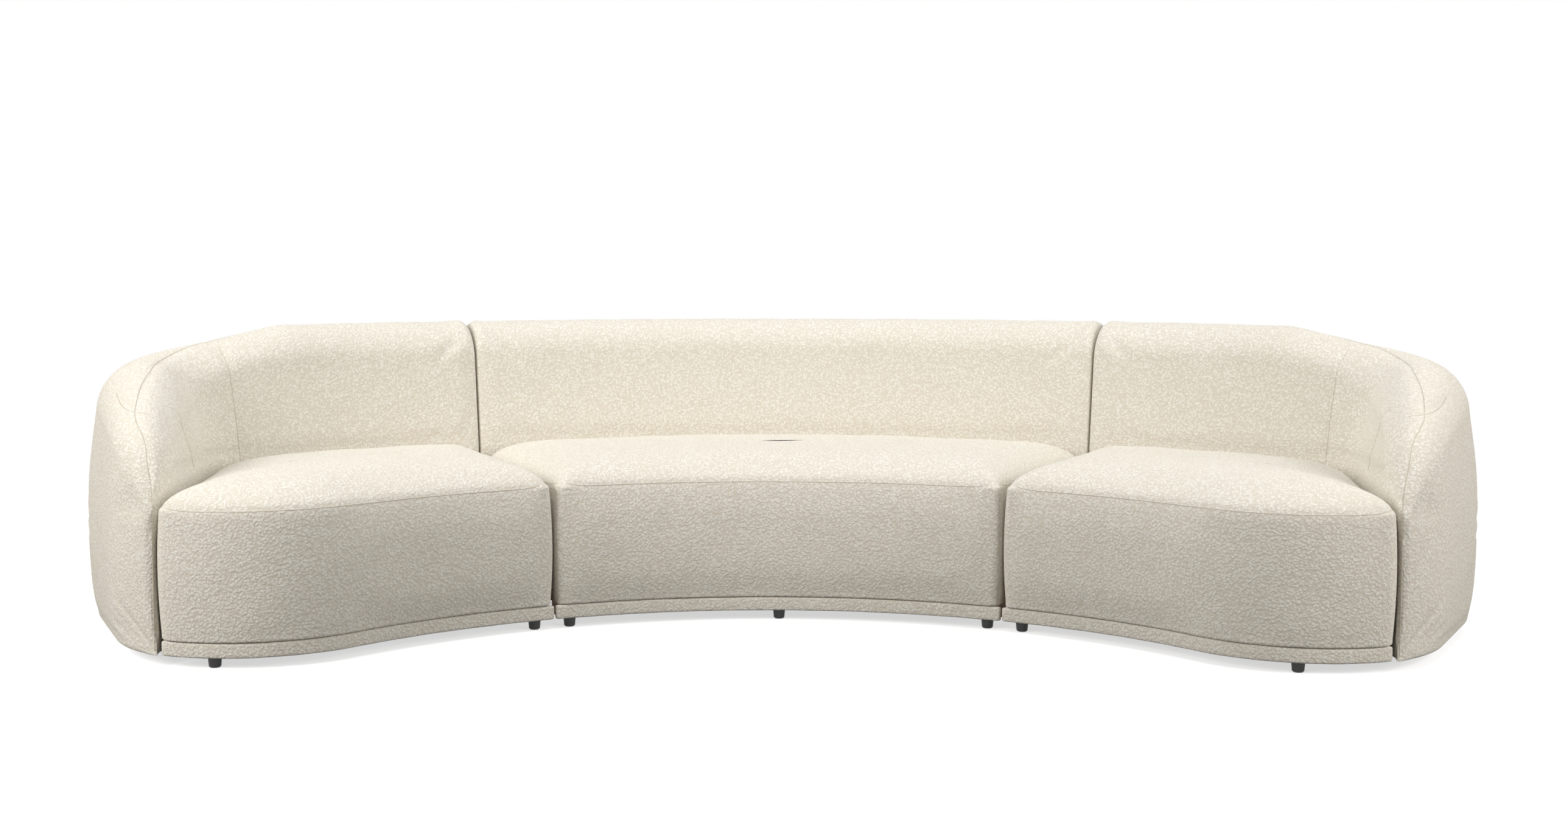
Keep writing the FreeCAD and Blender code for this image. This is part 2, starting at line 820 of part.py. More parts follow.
def spring_spot(radius, angle):
    """The placement of a spring or clip at a plan angle, its Y away from the arc centre."""
    turn = math.radians(angle)
    level = rail_top.number + size("spring_wire").number / 2
    spot = at_level((radius * math.sin(turn), radius * math.cos(turn)), level)
    return FreeCAD.Placement(spot, FreeCAD.Rotation(FreeCAD.Vector(0, 0, 1), -angle))


def clip_shape():
    """A folded steel clip: a bar over the wire with the wire's groove below."""
    width, length = size("clip_width").number, size("clip_length").number
    drop = size("spring_wire").number / 2
    height = size("clip_height").number
    block = Part.makeBox(width, length, height, FreeCAD.Vector(-width / 2, -length / 2, -drop))
    wide = drop + ease.number
    long = length + PAST * 2
    groove = Part.makeCylinder(wide, long, FreeCAD.Vector(0, -long / 2, 0), FreeCAD.Vector(0, 1, 0))
    way = Part.makeBox(wide * 2, long, drop + PAST, FreeCAD.Vector(-wide, -long / 2, -drop - PAST))
    return block.cut(groove).cut(way)


def spring_sets(prefix, runs):
    """Springs and clips; runs holds each spring's plan angle and its first and last radius."""
    springs, clips = [], []
    half = size("clip_length").number / 2
    for angle, start, finish in runs:
        spring = spring_shape(finish - start)
        spring.Placement = spring_spot(start, angle)
        springs.append(spring)
        for radius in (start + half, finish - half):
            clip = clip_shape()
            clip.Placement = spring_spot(radius, angle)
            clips.append(clip)
    node(feature(prefix + "_springs", Part.makeCompound(springs)), prefix + "_seat_springs")
    node(feature(prefix + "_clips", Part.makeCompound(clips)), prefix + "_spring_clips")


def foot(name, angle, radius, lobe_angle=None):
    """A tapered foot with its blind bore, turned on a lathe-like profile."""
    bore = size("bolt_radius") + size("bolt_bore_gap")
    bottom, edge = size("foot_bottom_radius"), size("foot_edge")
    corners = [
        (sized(0), sized(0)),
        (bottom - edge, sized(0)),
        (bottom, edge),
        (size("foot_top_radius"), base_level),
        (bore, base_level),
        (bore, size("bolt_floor")),
        (sized(0), size("bolt_floor")),
    ]
    body = doc.addObject("PartDesign::Body", name)
    sketch = outline_sketch(body, "XZ_Plane", corners, {})
    turned = body.newObject("PartDesign::Revolution", name + "_turned")
    turned.Profile = sketch
    turned.ReferenceAxis = (sketch, ["V_Axis"])
    turned.Angle = 360
    put_foot(body, angle, radius, 0, lobe_angle)
    return body


def put_foot(item, angle, radius, level, lobe_angle):
    """Stands a piece at a plan angle and radius, or at the lobe's edge."""
    if lobe_angle is None:
        place_polar(item, radius, angle, 0, level)
        return
    reach = size("lobe_radius") - size("foot_setback")
    place(item, lobe_x + reach * sine(lobe_angle), lobe_y - reach * cosine(lobe_angle), level, lobe_angle)


def foot_set(prefix, front_spots, rear_spots):
    """Feet and bolts; a spot is a plan angle, a radius and perhaps an angle about the lobe."""
    feet, bolts = [], []
    for number, spot in enumerate(front_spots + rear_spots):
        feet.append(foot(prefix + "_foot_" + str(number), *spot))
        bolt = cylinder(prefix + "_bolt_" + str(number), size("bolt_radius"), size("bolt_length"))
        put_foot(bolt, spot[0], spot[1], size("bolt_floor") + ease, spot[2] if len(spot) > 2 else None)
        bolts.append(bolt)
    group(feet, prefix + "_feet")
    group(bolts, prefix + "_foot_bolts")


def bore_for(name, spot, level):
    """A bolt's clearance hole through what the bolt enters."""
    hole = cylinder(name, size("bolt_radius") + size("bolt_bore_gap"), size("band_height") + PAST * 2)
    put_foot(hole, spot[0], spot[1], level - PAST, spot[2] if len(spot) > 2 else None)
    return hole


def connector_radii():
    first = size("connector_front_radius")
    return [first, first + size("connector_spacing")]


def screw_laterals():
    """Where a plate's two screws stand along the radius, from the plate's middle."""
    return [-size("screw_spacing") / 2, size("screw_spacing") / 2]


def plate_holes(name, angle, radius, lateral, grow):
    """Holes for a plate's two screws."""
    holes = []
    for number, offset in enumerate(screw_laterals()):
        hole = cylinder(name + "_" + str(number), size("screw_radius") + grow, size("screw_length") * 2)
        place_polar(hole, radius + offset, angle, lateral, frame_level - size("screw_length"))
        holes.append(hole)
    return holes


def screws(name, angle, radius, lateral, plate_low):
    made = []
    for number, offset in enumerate(screw_laterals()):
        spot = (radius + offset, angle, lateral)
        shank = cylinder(name + "_shank_" + str(number), size("screw_radius"), size("screw_length"))
        place_polar(shank, *spot, plate_low)
        head = cylinder(name + "_head_" + str(number), size("screw_head_radius"), size("screw_head_height"))
        place_polar(head, *spot, plate_low - size("screw_head_height"))
        made.append(fused(name + "_screw_" + str(number), [shank, head]))
    return made


def side_rail(name, angle, way):
    """The rail along a joint, with the screw holes of its connectors; way is 1 on the left end."""
    length = rear_rail_radius - front_rail_back - ease * 4
    rail = box(name + "_plain", board, length, size("rail_height"))
    setback = size("rail_setback")
    lateral = setback if way > 0 else -setback - board
    place_polar(rail, front_rail_back + ease, angle, lateral, frame_level)
    holes = []
    for number, radius in enumerate(connector_radii()):
        screw_line = (setback + size("screw_edge")) * way
        holes += plate_holes(name + "_hole_" + str(number), angle, radius, screw_line, size("bolt_bore_gap"))
    return cut(name, rail, holes)


def cross_rail(name, angle):
    length = rear_rail_radius - front_rail_back - ease * 2
    rail = box(name, board, length, size("rail_height"))
    place_polar(rail, front_rail_back + ease, angle, -board / 2, frame_level)
    return rail


def jaw(name, angle, radius, way):
    """A plate under the centre's side rail with a slot that is open towards the end module."""
    plate = box(name + "_plate", size("plate_length"), size("plate_width"), size("plate_thickness"))
    lateral = ease if way > 0 else -size("plate_length") - ease
    place_polar(plate, radius - size("plate_width") / 2, angle, lateral, frame_level - size("plate_thickness"))
    half = size("pin_radius") + size("slot_gap")
    reach = size("tongue_reach") + half
    slot = box(name + "_slot", reach, half * 2, size("plate_thickness") * 3)
    slot_lateral = sized(0) if way > 0 else -reach
    place_polar(slot, radius - half, angle, slot_lateral, frame_level - size("plate_thickness") * 2)
    holes = plate_holes(name + "_hole", angle, radius, (size("rail_setback") + size("screw_edge")) * way,
                        size("bolt_bore_gap"))
    return cut(name, plate, [slot] + holes)


def tongue(name, angle, radius):
    """A plate under the end module's side rail that reaches across the joint with a pin."""
    thickness = size("plate_thickness")
    gap_width = joint_width(radius)
    reach = size("tongue_reach") + size("pin_radius") + gap_width
    base = box(name + "_base", size("plate_length"), size("plate_width"), thickness + ease)
    place_polar(base, radius - size("plate_width") / 2, angle, ease, frame_level - thickness - ease)
    arm_plate = box(name + "_arm", size("plate_length") + reach + ease, size("tongue_width"), thickness)
    low = frame_level - thickness * 2 - ease
    place_polar(arm_plate, radius - size("tongue_width") / 2, angle, -reach, low)
    pin = cylinder(name + "_pin", size("pin_radius"), thickness * 2)
    place_polar(pin, radius, angle, size("pin_radius") - reach, low)
    holes = plate_holes(name + "_hole", angle, radius, size("rail_setback") + size("screw_edge"),
                        size("bolt_bore_gap"))
    return cut(name, fused(name + "_whole", [base, arm_plate, pin]), holes)


def joint_width(radius):
    """The gap between two modules at a radius."""
    return radius * sine(joint_gap * 2)


def rib(name, radius, angle, depth, height):
    item = box(name, panel, depth, height)
    place_polar(item, radius, angle, -panel / 2, rib_level)
    return item


# The centre module

near = joint_angle - joint_gap
pad_low, pad_high = frame_level, foam_level - ease
band_outer = band_radius + board
end_inset = size("back_end_inset")


def degrees_of(length, radius):
    """A length along an arc as an angle."""
    return length / radius * (180 / math.pi)


rail_end = near - degrees_of(size("rail_setback"), front_rail_radius)
pad_inset = size("seat_corner_radius") + size("seat_side_draw") + size("pad_end_gap")
pad_end = near - degrees_of(pad_inset, pad_radius)
dust_radius = band_outer + ease * 2 + size("block_depth")
back_end = near - degrees_of(end_inset, rib_radius)

node(sector("centre_band", band_radius, band_outer, base_level, frame_level, -near, near), "centre_base_band")
node(sector("centre_pad", pad_radius, front_rail_radius - ease, pad_low, pad_high, -pad_end, pad_end),
     "centre_front_pad")
node(sector("centre_front", front_rail_radius, front_rail_back, frame_level, rail_top, -rail_end, rail_end),
     "centre_front_rail")
node(sector("centre_rear", rear_rail_radius, rib_radius - ease, frame_level, rail_top, -rail_end, rail_end),
     "centre_rear_rail")
dust_end = near - degrees_of(size("plate_length") + size("dust_cover_gap"), band_radius)
node(sector("centre_dust", dust_radius, rear_rail_radius + board / 2,
            frame_level - size("dust_cover_thickness"), frame_level, -dust_end, dust_end), "centre_dust_cover")

centre_rails = [side_rail("centre_rail_left", -near, 1), side_rail("centre_rail_right", near, -1)]
for number, way in enumerate((-1, 1)):
    centre_rails.append(cross_rail("centre_cross_" + str(number), size("cross_rail_angle") * way))
group(centre_rails, "centre_side_rails")

foot_radius = band_radius + size("foot_setback")
foot_angle = near - degrees_of(size("foot_inset"), foot_radius)
rear_foot_radius = rib_radius + size("rib_depth") / 2
rear_foot_angle = near - degrees_of(size("rear_foot_inset"), rear_foot_radius)
centre_front_feet = [(-foot_angle, foot_radius), (sized(0), foot_radius), (foot_angle, foot_radius)]
centre_rear_feet = [(-rear_foot_angle, rear_foot_radius), (sized(0), rear_foot_radius),
                    (rear_foot_angle, rear_foot_radius)]
foot_set("centre", centre_front_feet, centre_rear_feet)


def foot_block(name, spot):
    """A wood block behind the band that carries the front rail and takes a foot's bolt."""
    half = degrees_of(size("block_width") / 2, foot_radius)
    low, high = base_level, frame_level
    if len(spot) > 2:
        outer = size("lobe_radius") - board - ease
        block = lobe_sector(name + "_plain", outer - size("block_depth"), outer, low, high,
                            spot[2] - half * 3, spot[2] + half * 3)
    else:
        inner = band_outer + ease
        block = sector(name + "_plain", inner, inner + size("block_depth"), low, high,
                       spot[0] - half, spot[0] + half)
    return cut(name, block, [bore_for(name + "_bore", spot, base_level)])


centre_blocks = [foot_block("centre_block_" + str(number), spot)
                 for number, spot in enumerate(centre_front_feet)]

spring_start = (front_rail_radius + size("spring_end_gap")).number
spring_finish = (rib_radius - ease - size("spring_end_gap")).number
spring_step = size("spring_spacing_angle").number
centre_springs = 8
centre_runs = [(spring_step * (number - (centre_springs - 1) / 2), spring_start, spring_finish)
               for number in range(centre_springs)]
spring_sets("centre", centre_runs)

centre_seat_plan = SeatPlan(False)
seat_pieces("centre", centre_seat_plan)

centre_base = sector("centre_base", rib_radius, rib_back, base_level, rib_level, -back_end, back_end)
centre_bores = [bore_for("centre_base_bore_" + str(number), spot, base_level)
                for number, spot in enumerate(centre_rear_feet)]
group(centre_blocks + [cut("centre_base_bored", centre_base, centre_bores)], "centre_base_blocks")
rib_angles = [size("rib_spacing_angle") * step for step in (-2, -1, 0, 1, 2)]
group([rib("centre_rib_" + str(number), rib_radius, angle, size("rib_depth"), size("rib_height"))
       for number, angle in enumerate(rib_angles)], "centre_back_ribs")
top_rail_start = rib_radius + (size("rib_depth") - size("top_rail_width")) / 2
top_rail_end = top_rail_start + size("top_rail_width")
node(sector("centre_top_rail_board", top_rail_start, top_rail_end, top_rail_level, top_rail_level + panel,
            -back_end, back_end), "centre_back_top_rail")


def webbing(name, start, finish, count):
    straps = []
    inner = rib_radius - ease - size("webbing_thickness")
    for number in range(count):
        low = size("webbing_first_height") + size("webbing_spacing") * number
        straps.append(sector(name + "_" + str(number), inner, rib_radius - ease, low,
                             low + size("webbing_width"), start, finish))
    return straps


group(webbing("centre_strap", -size("rib_spacing_angle") * 2, size("rib_spacing_angle") * 2, 3),
      "centre_back_webbing")


def back_solid(name, depth, low, start, finish):
    corners, arcs = wall_corners(sized(depth), sized(low))
    return revolved(name, corners, arcs, start, finish)


def end_cap(name, depth, low, plane, way):
    """The last stretch of the wall before a joint, rounded over at its top and sides."""
    reach = size("end_round").number - depth
    side = size("end_side_round").number - depth
    wires = []
    for step in range(CAP_STEPS + 1):
        turn = math.pi / 2 * step / CAP_STEPS
        angle = math.radians(plane + way * math.degrees(reach * (1 - math.sin(turn)) / rib_radius.number))
        heading = (math.sin(angle), math.cos(angle))
        inner = size("back_inner_radius").number
        station = ((heading[0] * inner, heading[1] * inner), heading, size("wall_thickness").number)
        across = depth + side * (1 - math.cos(turn))
        top = size("back_height").number + across - depth - reach * (1 - math.cos(turn))
        wires.append(wall_wire(station, top, across, low))
    return feature(name, lofted(wires))


def cap_length(depth):
    """The plan angle that an end cap takes."""
    return degrees_of(size("end_round") - depth, rib_radius)


skin_end = near - degrees_of(cover, rib_radius)
foam_end = near - degrees_of(cover + ease, rib_radius)
room_end = near - degrees_of(end_inset - ease, rib_radius)
room_low = base_level - size("cutter_spare")
doc.recompute()

centre_hollow = revolved("centre_hollow", hollow_corners(room_low), {}, -room_end, room_end)
doc.recompute()


def capped_back(name, depth, low, end):
    """The centre module's wall for one inset, with a cap at each end."""
    depth = sized(depth)
    straight = end - cap_length(depth)
    return fused(name, [
        back_solid(name + "_middle", depth, low, -straight, straight),
        end_cap(name + "_left", depth.number, low.number, -end.number, 1),
        end_cap(name + "_right", depth.number, low.number, end.number, -1),
    ])


outside = capped_back("centre_back_outside", 0, base_level, near)
inside = capped_back("centre_back_inside", cover, room_low, skin_end)
padding = capped_back("centre_back_padding", cover + ease, base_level, foam_end)
node(cut("centre_back_skin", outside, [inside, centre_hollow]), "centre_back_cover")
node(cut("centre_back_padding_cut", padding, [centre_hollow]), "centre_back_foam")

jaws, jaw_screws = [], []
for side_name, way in (("left", 1), ("right", -1)):
    for number, radius in enumerate(connector_radii()):
        stem = "centre_jaw_" + side_name + "_" + str(number)
        jaws.append(jaw(stem, near * -way, radius, way))
        jaw_screws += screws(stem + "_fix", near * -way, radius,
                             (size("rail_setback") + size("screw_edge")) * way,
                             frame_level - size("plate_thickness"))
group(jaws, "centre_connector_jaws")
group(jaw_screws, "centre_connector_screws")

# The end modules: the right one is built, and the left one is its mirror image

near_end = joint_angle + joint_gap
lobe_end = size("lobe_end_angle")
lane = rib_radius - size("back_inner_radius")
corner_reach = size("back_inner_radius") - size("inner_corner_radius")
corner_x = corner_reach * sine(corner_angle)
corner_y = corner_reach * cosine(corner_angle)
fan_first = sized(arm.first_angle)
fan_last = sized(arm.last_angle)


def bent_front(name, inner, outer, low, high, start, finish):
    """A curved board that follows the seat's front: round the arc centre, then round the lobe."""
    first = sector(name + "_hollow", inner, outer, low, high, start, turn_angle)
    second = lobe_sector(name + "_lobe", lobe_distance - outer, lobe_distance - inner, low, high,
                         -turn_angle, finish)
    return fused(name, [first, second])


def fan(name, inner, outer, low, high):
    """A curved board round the inner corner, by its distances from the wall's inner face."""
    radius = size("inner_corner_radius")
    body = sector(name, radius + inner, radius + outer, low, high, sized(0), fan_first - fan_last)
    place(body, corner_x, corner_y, 0, (fan_first + fan_last) / 2 - 90)
    return body


def arm_box(name, inner, outer, low, high, start, finish):
    """A straight board along the arm; start and finish are measured from the arm's front."""
    item = box(name, outer - inner, finish - start, high - low)
    heading = -fan_last.number
    x = arm.front[0] + arm.direction[0] * start.number + arm.across[0] * inner.number
    y = arm.front[1] + arm.direction[1] * start.number + arm.across[1] * inner.number
    item.Placement = FreeCAD.Placement(at_level((x, y), low.number),
                                       FreeCAD.Rotation(FreeCAD.Vector(0, 0, 1), -heading))
    return item


def lane_board(name, depth_in, depth_out, arm_in, arm_out, low, high, start):
    """A board along the back, round the corner and down the arm."""
    inner = size("back_inner_radius")
    parts = [
        sector(name + "_back", inner + depth_in, inner + depth_out, low, high, start, corner_angle),
        fan(name + "_corner", depth_in, depth_out, low, high),
        arm_box(name + "_arm", arm_in, arm_out, low, high, size("arm_frame_start"), sized(arm.length)),
    ]
    return fused(name, parts)


end_rail_start = near_end + degrees_of(size("rail_setback"), front_rail_radius)
end_back_start = near_end + degrees_of(end_inset, rib_radius)
right = {}
right["base_band"] = bent_front("end_band", band_radius, band_outer, base_level, frame_level, near_end, lobe_end)
right["front_pad"] = bent_front("end_pad", pad_radius, front_rail_radius - ease, pad_low, pad_high,
                                near_end + degrees_of(pad_inset, pad_radius),
                                lobe_end - size("lobe_rail_short_angle"))
right["front_rail"] = bent_front("end_front", front_rail_radius, front_rail_back, frame_level, rail_top,
                                 end_rail_start, lobe_end - size("lobe_rail_short_angle"))
right["rear_rail"] = lane_board("end_rear", lane - ease - board, lane - ease, lane - ease - board,
                                lane - ease, frame_level, rail_top, end_rail_start)

end_rails = [side_rail("end_rail", near_end, 1)]
for number in range(2):
    angle = size("end_cross_rail_angle") + size("cross_rail_angle") * number
    end_rails.append(cross_rail("end_cross_" + str(number), angle))
right["side_rails"] = bundle(end_rails, "end_rails")

rail_in = lane + (size("rib_depth") - size("top_rail_width")) / 2
arm_rail_in = lane + (size("arm_rib_depth") - size("top_rail_width")) / 2
high_rail = sector("end_top_rail", top_rail_start, top_rail_end, top_rail_level, top_rail_level + panel,
                   end_back_start, corner_angle)
low_rail = fused("end_arm_rail", [
    fan("end_arm_rail_corner", arm_rail_in, arm_rail_in + size("top_rail_width"), arm_rail_level,
        arm_rail_level + panel),
    arm_box("end_arm_rail_arm", arm_rail_in, arm_rail_in + size("top_rail_width"), arm_rail_level,
            arm_rail_level + panel, size("arm_frame_start"), sized(arm.length)),
])
right["back_top_rail"] = bundle([high_rail, low_rail], "end_top_rails")

end_ribs = []
for number in range(4):
    angle = size("end_rib_angle") + size("end_rib_spacing_angle") * number
    end_ribs.append(rib("end_rib_" + str(number), rib_radius, angle, size("rib_depth"), size("rib_height")))


def fan_rib(name, share):
    """A low rib that stands across the turn of the corner."""
    item = box(name, panel, size("arm_rib_depth"), size("arm_rib_height"))
    angle = arm.first_angle + (arm.last_angle - arm.first_angle) * share
    turn = math.radians(angle)
    reach = arm.corner_radius + lane.number
    half = panel.number / 2
    x = corner_x.number + reach * math.cos(turn) + half * math.sin(turn) * -1
    y = corner_y.number + reach * math.sin(turn) + half * math.cos(turn)
    item.Placement = FreeCAD.Placement(at_level((x, y), rib_level.number),
                                       FreeCAD.Rotation(FreeCAD.Vector(0, 0, 1), angle - 90))
    return item


for number, share in enumerate((0.35, 0.9)):
    end_ribs.append(fan_rib("end_fan_rib_" + str(number), share))
for number in range(3):
    start = size("arm_frame_start") + size("arm_rib_spacing") * number
    end_ribs.append(arm_box("end_arm_rib_" + str(number), lane, lane + size("arm_rib_depth"), rib_level,
                            rib_level + size("arm_rib_height"), start, start + panel))
right["back_ribs"] = bundle(end_ribs, "end_ribs")
right["back_webbing"] = bundle(webbing("end_strap", size("end_rib_angle"), corner_angle, 3), "end_webbing")

end_plan = SeatPlan(True)
seat_pieces("right", end_plan)
right["seat_cover"] = nodes.pop(-2)
right["seat_foam"] = nodes.pop(-1)

dust_depth = (dust_radius - seat_radius).number
dust_level = (frame_level - size("dust_cover_thickness")).number
dust = prism(end_plan.wire(dust_level, dust_depth, ease.number), size("dust_cover_thickness").number)
right["dust_cover"] = feature("end_dust", dust)

end_runs = []
half_clip = size("clip_length").number / 2
for number in range(4):
    end_runs.append((size("end_spring_angle").number + spring_step * number, spring_start, spring_finish))
for number in range(2):
    angle = size("lobe_spring_angle").number + size("lobe_spring_spacing_angle").number * number
    ray = Line(0, 0, math.sin(math.radians(angle)), math.cos(math.radians(angle)))
    rail_ring = Ring(lobe_x.number, lobe_y.number, (lobe_distance - front_rail_radius).number, 1)
    first = min(math.hypot(*point) for point in rail_ring.crossing(ray))
    far_x = arm.front[0] + arm.across[0] * (lane - ease).number
    far_y = arm.front[1] + arm.across[1] * (lane - ease).number
    slope = ray.dx * arm.across[0] + ray.dy * arm.across[1]
    last = (far_x * arm.across[0] + far_y * arm.across[1]) / slope
    skew = size("clip_width").number / 2 * math.tan(math.acos(slope))
    end_runs.append((angle, first + half_clip + skew, last - half_clip - skew))
spring_sets("right", end_runs)
right["seat_springs"] = nodes.pop(-2)
right["spring_clips"] = nodes.pop(-1)

tongues, tongue_screws = [], []
for number, radius in enumerate(connector_radii()):
    stem = "end_tongue_" + str(number)
    tongues.append(tongue(stem, near_end, radius))
    tongue_screws += screws(stem + "_fix", near_end, radius, size("rail_setback") + size("screw_edge"),
                            frame_level - size("plate_thickness") - ease)
right["connector_tongues"] = bundle(tongues, "end_tongues")
right["connector_screws"] = bundle(tongue_screws, "end_screws")

# the wall: a swept back, and a loft from there round the corner and down the arm
end_skin = near_end + degrees_of(cover, rib_radius)
end_foam = near_end + degrees_of(cover + ease, rib_radius)
end_room = near_end + degrees_of(end_inset - ease, rib_radius)


def arm_loft(name, depth, low):
    """The arm's solid for one inset, from the back's end to the arm's front."""
    last = 1 - depth / arm.length
    found = arm.stations(FAN_STEPS, [share * last for share in ARM_SHARES])
    return feature(name, lofted([wall_wire(station, arm.crest(station[0], depth), depth, low)
                                 for station in found]))


def arm_hollow(name):
    last = 1 - (size("arm_frame_start").number - ease.number * 4) / arm.length
    found = arm.stations(FAN_STEPS, [share * last for share in HOLLOW_SHARES])
    return feature(name, lofted([hollow_wire(station, arm.crest(station[0], 0)) for station in found]))


def end_back(name, depth, low, start):
    """The end module's wall for one inset: a cap at the joint, the back, and the arm."""
    depth = sized(depth)
    return fused(name, [
        end_cap(name + "_cap", depth.number, low.number, start.number, 1),
        back_solid(name + "_swept", depth, low, start + cap_length(depth), corner_angle),
        arm_loft(name + "_arm", depth.number, low.number),
    ])


end_hollow = fused("end_hollow", [
    revolved("end_hollow_back", hollow_corners(room_low), {}, end_room, corner_angle),
    arm_hollow("end_hollow_arm"),
])
end_outside = end_back("end_outside", 0, base_level, near_end)
end_inside = end_back("end_inside", cover, room_low, end_skin)
end_padding = end_back("end_padding", cover + ease, base_level, end_foam)
right["back_cover"] = cut("end_back_skin", end_outside, [end_inside, end_hollow])
right["back_foam"] = cut("end_back_padding", end_padding, [end_hollow])


def end_feet(side, lobe_angle):
    """Feet, bolts and base blocks of one end module, built on the right."""
    stem = side + "_built"
    front = [(near_end + degrees_of(size("foot_inset"), foot_radius), foot_radius),
             (sized(0), foot_radius, lobe_angle)]
    rear = [(near_end + degrees_of(size("rear_foot_inset"), rear_foot_radius), rear_foot_radius),
            (corner_angle - degrees_of(size("foot_inset"), rear_foot_radius), rear_foot_radius)]
    foot_set(stem, front, rear)
    pieces = {"foot_bolts": nodes.pop(), "feet": nodes.pop()}
    base = lane_board(stem + "_base", lane, lane + size("rib_depth"), lane, lane + size("arm_rib_depth"),
                      base_level, rib_level, end_back_start)
    bores = [bore_for(stem + "_bore_" + str(number), spot, base_level) for number, spot in enumerate(rear)]
    blocks = [foot_block(stem + "_block_" + str(number), spot) for number, spot in enumerate(front)]
    pieces["base_blocks"] = bundle(blocks + [cut(stem + "_base_bored", base, bores)], stem + "_blocks")
    return pieces


def mirrored(item, label):
    image = doc.addObject("Part::Mirroring", label)
    image.Source = item
    image.Normal = (1, 0, 0)
    return node(image, label)


for kind, item in {**right, **end_feet("right", size("right_arm_foot_angle"))}.items():
    node(item, "right_" + kind)
for kind, item in {**right, **end_feet("left", size("left_arm_foot_angle"))}.items():
    mirrored(item, "left_" + kind)

doc.recompute()


def write_all():
    """Checks every object and writes each node's solids."""
    for item in doc.Objects:
        if "Invalid" in item.State or "Error" in item.State:
            raise RuntimeError(item.Name + " " + str(item.State))
    for item in nodes:
        shape = item.Shape
        if shape.isNull() or not shape.isValid() or not shape.Solids:
            raise RuntimeError(item.Label + " has no valid shape")
    for item in nodes:
        item.Shape.exportStep("parts/" + item.Label + ".step")
        solids = item.Shape.Solids
        print(item.Label, len(solids), round(sum(solid.Volume for solid in solids)))


write_all()
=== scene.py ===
"""Looks of a low curved sofa in looped ivory wool: a centre seat between two ends with arms."""

import logging
import math
from dataclasses import dataclass, field
from enum import Enum

import bmesh
import bpy
import numpy as np
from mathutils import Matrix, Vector
from mathutils.bvhtree import BVHTree


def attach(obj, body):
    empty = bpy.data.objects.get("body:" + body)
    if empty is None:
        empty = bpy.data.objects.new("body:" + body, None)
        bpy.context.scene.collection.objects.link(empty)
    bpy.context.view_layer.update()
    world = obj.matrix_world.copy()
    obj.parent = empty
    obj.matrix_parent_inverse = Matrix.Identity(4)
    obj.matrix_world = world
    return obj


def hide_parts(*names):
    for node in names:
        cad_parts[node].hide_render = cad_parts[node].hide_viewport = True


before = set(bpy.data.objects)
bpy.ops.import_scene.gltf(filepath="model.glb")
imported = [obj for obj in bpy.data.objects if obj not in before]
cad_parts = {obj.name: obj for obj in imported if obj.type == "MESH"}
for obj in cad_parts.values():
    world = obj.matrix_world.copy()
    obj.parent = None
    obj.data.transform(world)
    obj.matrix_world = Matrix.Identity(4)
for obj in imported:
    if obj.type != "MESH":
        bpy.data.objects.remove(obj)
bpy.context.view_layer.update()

LOG = logging.getLogger("sofa")


class Side(Enum):
    """Which end module a piece belongs to; the value is the sign of X."""

    LEFT = -1
    RIGHT = 1


@dataclass(frozen=True)
class Plan:
    """The sofa's plan in metres and degrees, about the arc centre in front of it."""

    arc_centre_y: float = -1.42614
    joint_angle: float = 26.33
    joint_gap: float = 0.07
    front_radius: float = 1.255
    band_radius: float = 1.264
    band_depth: float = 0.020
    turn_angle: float = 51.0
    lobe: tuple[float, float] = (1.263644, 1.023275)
    seat_lobe_radius: float = 0.371
    band_lobe_radius: float = 0.362
    band_lobe_end: float = 23.6
    back_inner: float = 1.943
    back_outer: float = 2.200
    wall: float = 0.257
    corner: tuple[float, float] = (1.296690, 1.209183)
    corner_angle: float = 47.0
    corner_radius: float = 0.170
    arm_front: tuple[float, float] = (1.391, 0.698)
    arm_heading: float = 8.636
    arm_length: float = 0.4912
    turn: tuple[float, float] = (1.515434, 1.227175)
    turn_radius: float = 0.250
    outer_corner_angle: float = 51.0
    nose_radius: float = 0.367
    side_normal: float = -29.83
    rounding: float = 0.024
    ease: float = 0.0003

    @property
    def near_end(self) -> float:
        """The plan angle at which an end module starts."""
        return self.joint_angle + self.joint_gap

    @property
    def near_centre(self) -> float:
        """The plan angle at which the centre module ends."""
        return self.joint_angle - self.joint_gap


@dataclass(frozen=True)
class Heights:
    """Levels above the floor, in metres."""

    base: float = 0.026
    band_top: float = 0.061
    seam: float = 0.365
    crown_rise: float = 0.062
    crown_reach: float = 0.150
    crown_first: float = 22.0
    crown_last: float = 80.0
    side_draw: float = 0.006
    back: float = 0.760
    knee: float = 0.405
    lean: float = 0.026
    barrel_low: float = 0.018
    barrel_top: float = 0.0264
    fall_angle: float = 41.7
    arm_fall: float = 0.250
    arm_power: float = 1.055
    nose_drop: float = 0.208
    nose_share: float = 0.276


PLAN = Plan()
HEIGHTS = Heights()
# In metres: how far from a joint a wall's end rounds over, the radius at which that is measured, the radius
# of the seam on the crest, and about how far apart the vertices of the fabrics lie.
ROUNDED_END = 0.030
MIDDLE_LINE = 1.9877
CREST_LINE = 2.088
MESH_STEP = 0.0155


def smoothstep(low: float, high: float, values: np.ndarray) -> np.ndarray:
    """Rises from 0 at low to 1 at high without a corner.

    Args:
        low: Where the rise starts.
        high: Where it ends.
        values: The places to value.

    Returns:
        Shares from 0 to 1.
    """
    share = np.clip((values - low) / (high - low), 0, 1)
    return share * share * (3 - 2 * share)


def front_shift(y: np.ndarray | float) -> np.ndarray | float:
    """How far the boundary between seat and arm gives way near the arm's front, where the seat bulges.

    Args:
        y: Distances in front of the arc centre, in metres.

    Returns:
        Shifts in metres, outwards.
    """
    return 0.026 * (1 - smoothstep(0.700, 0.830, y))


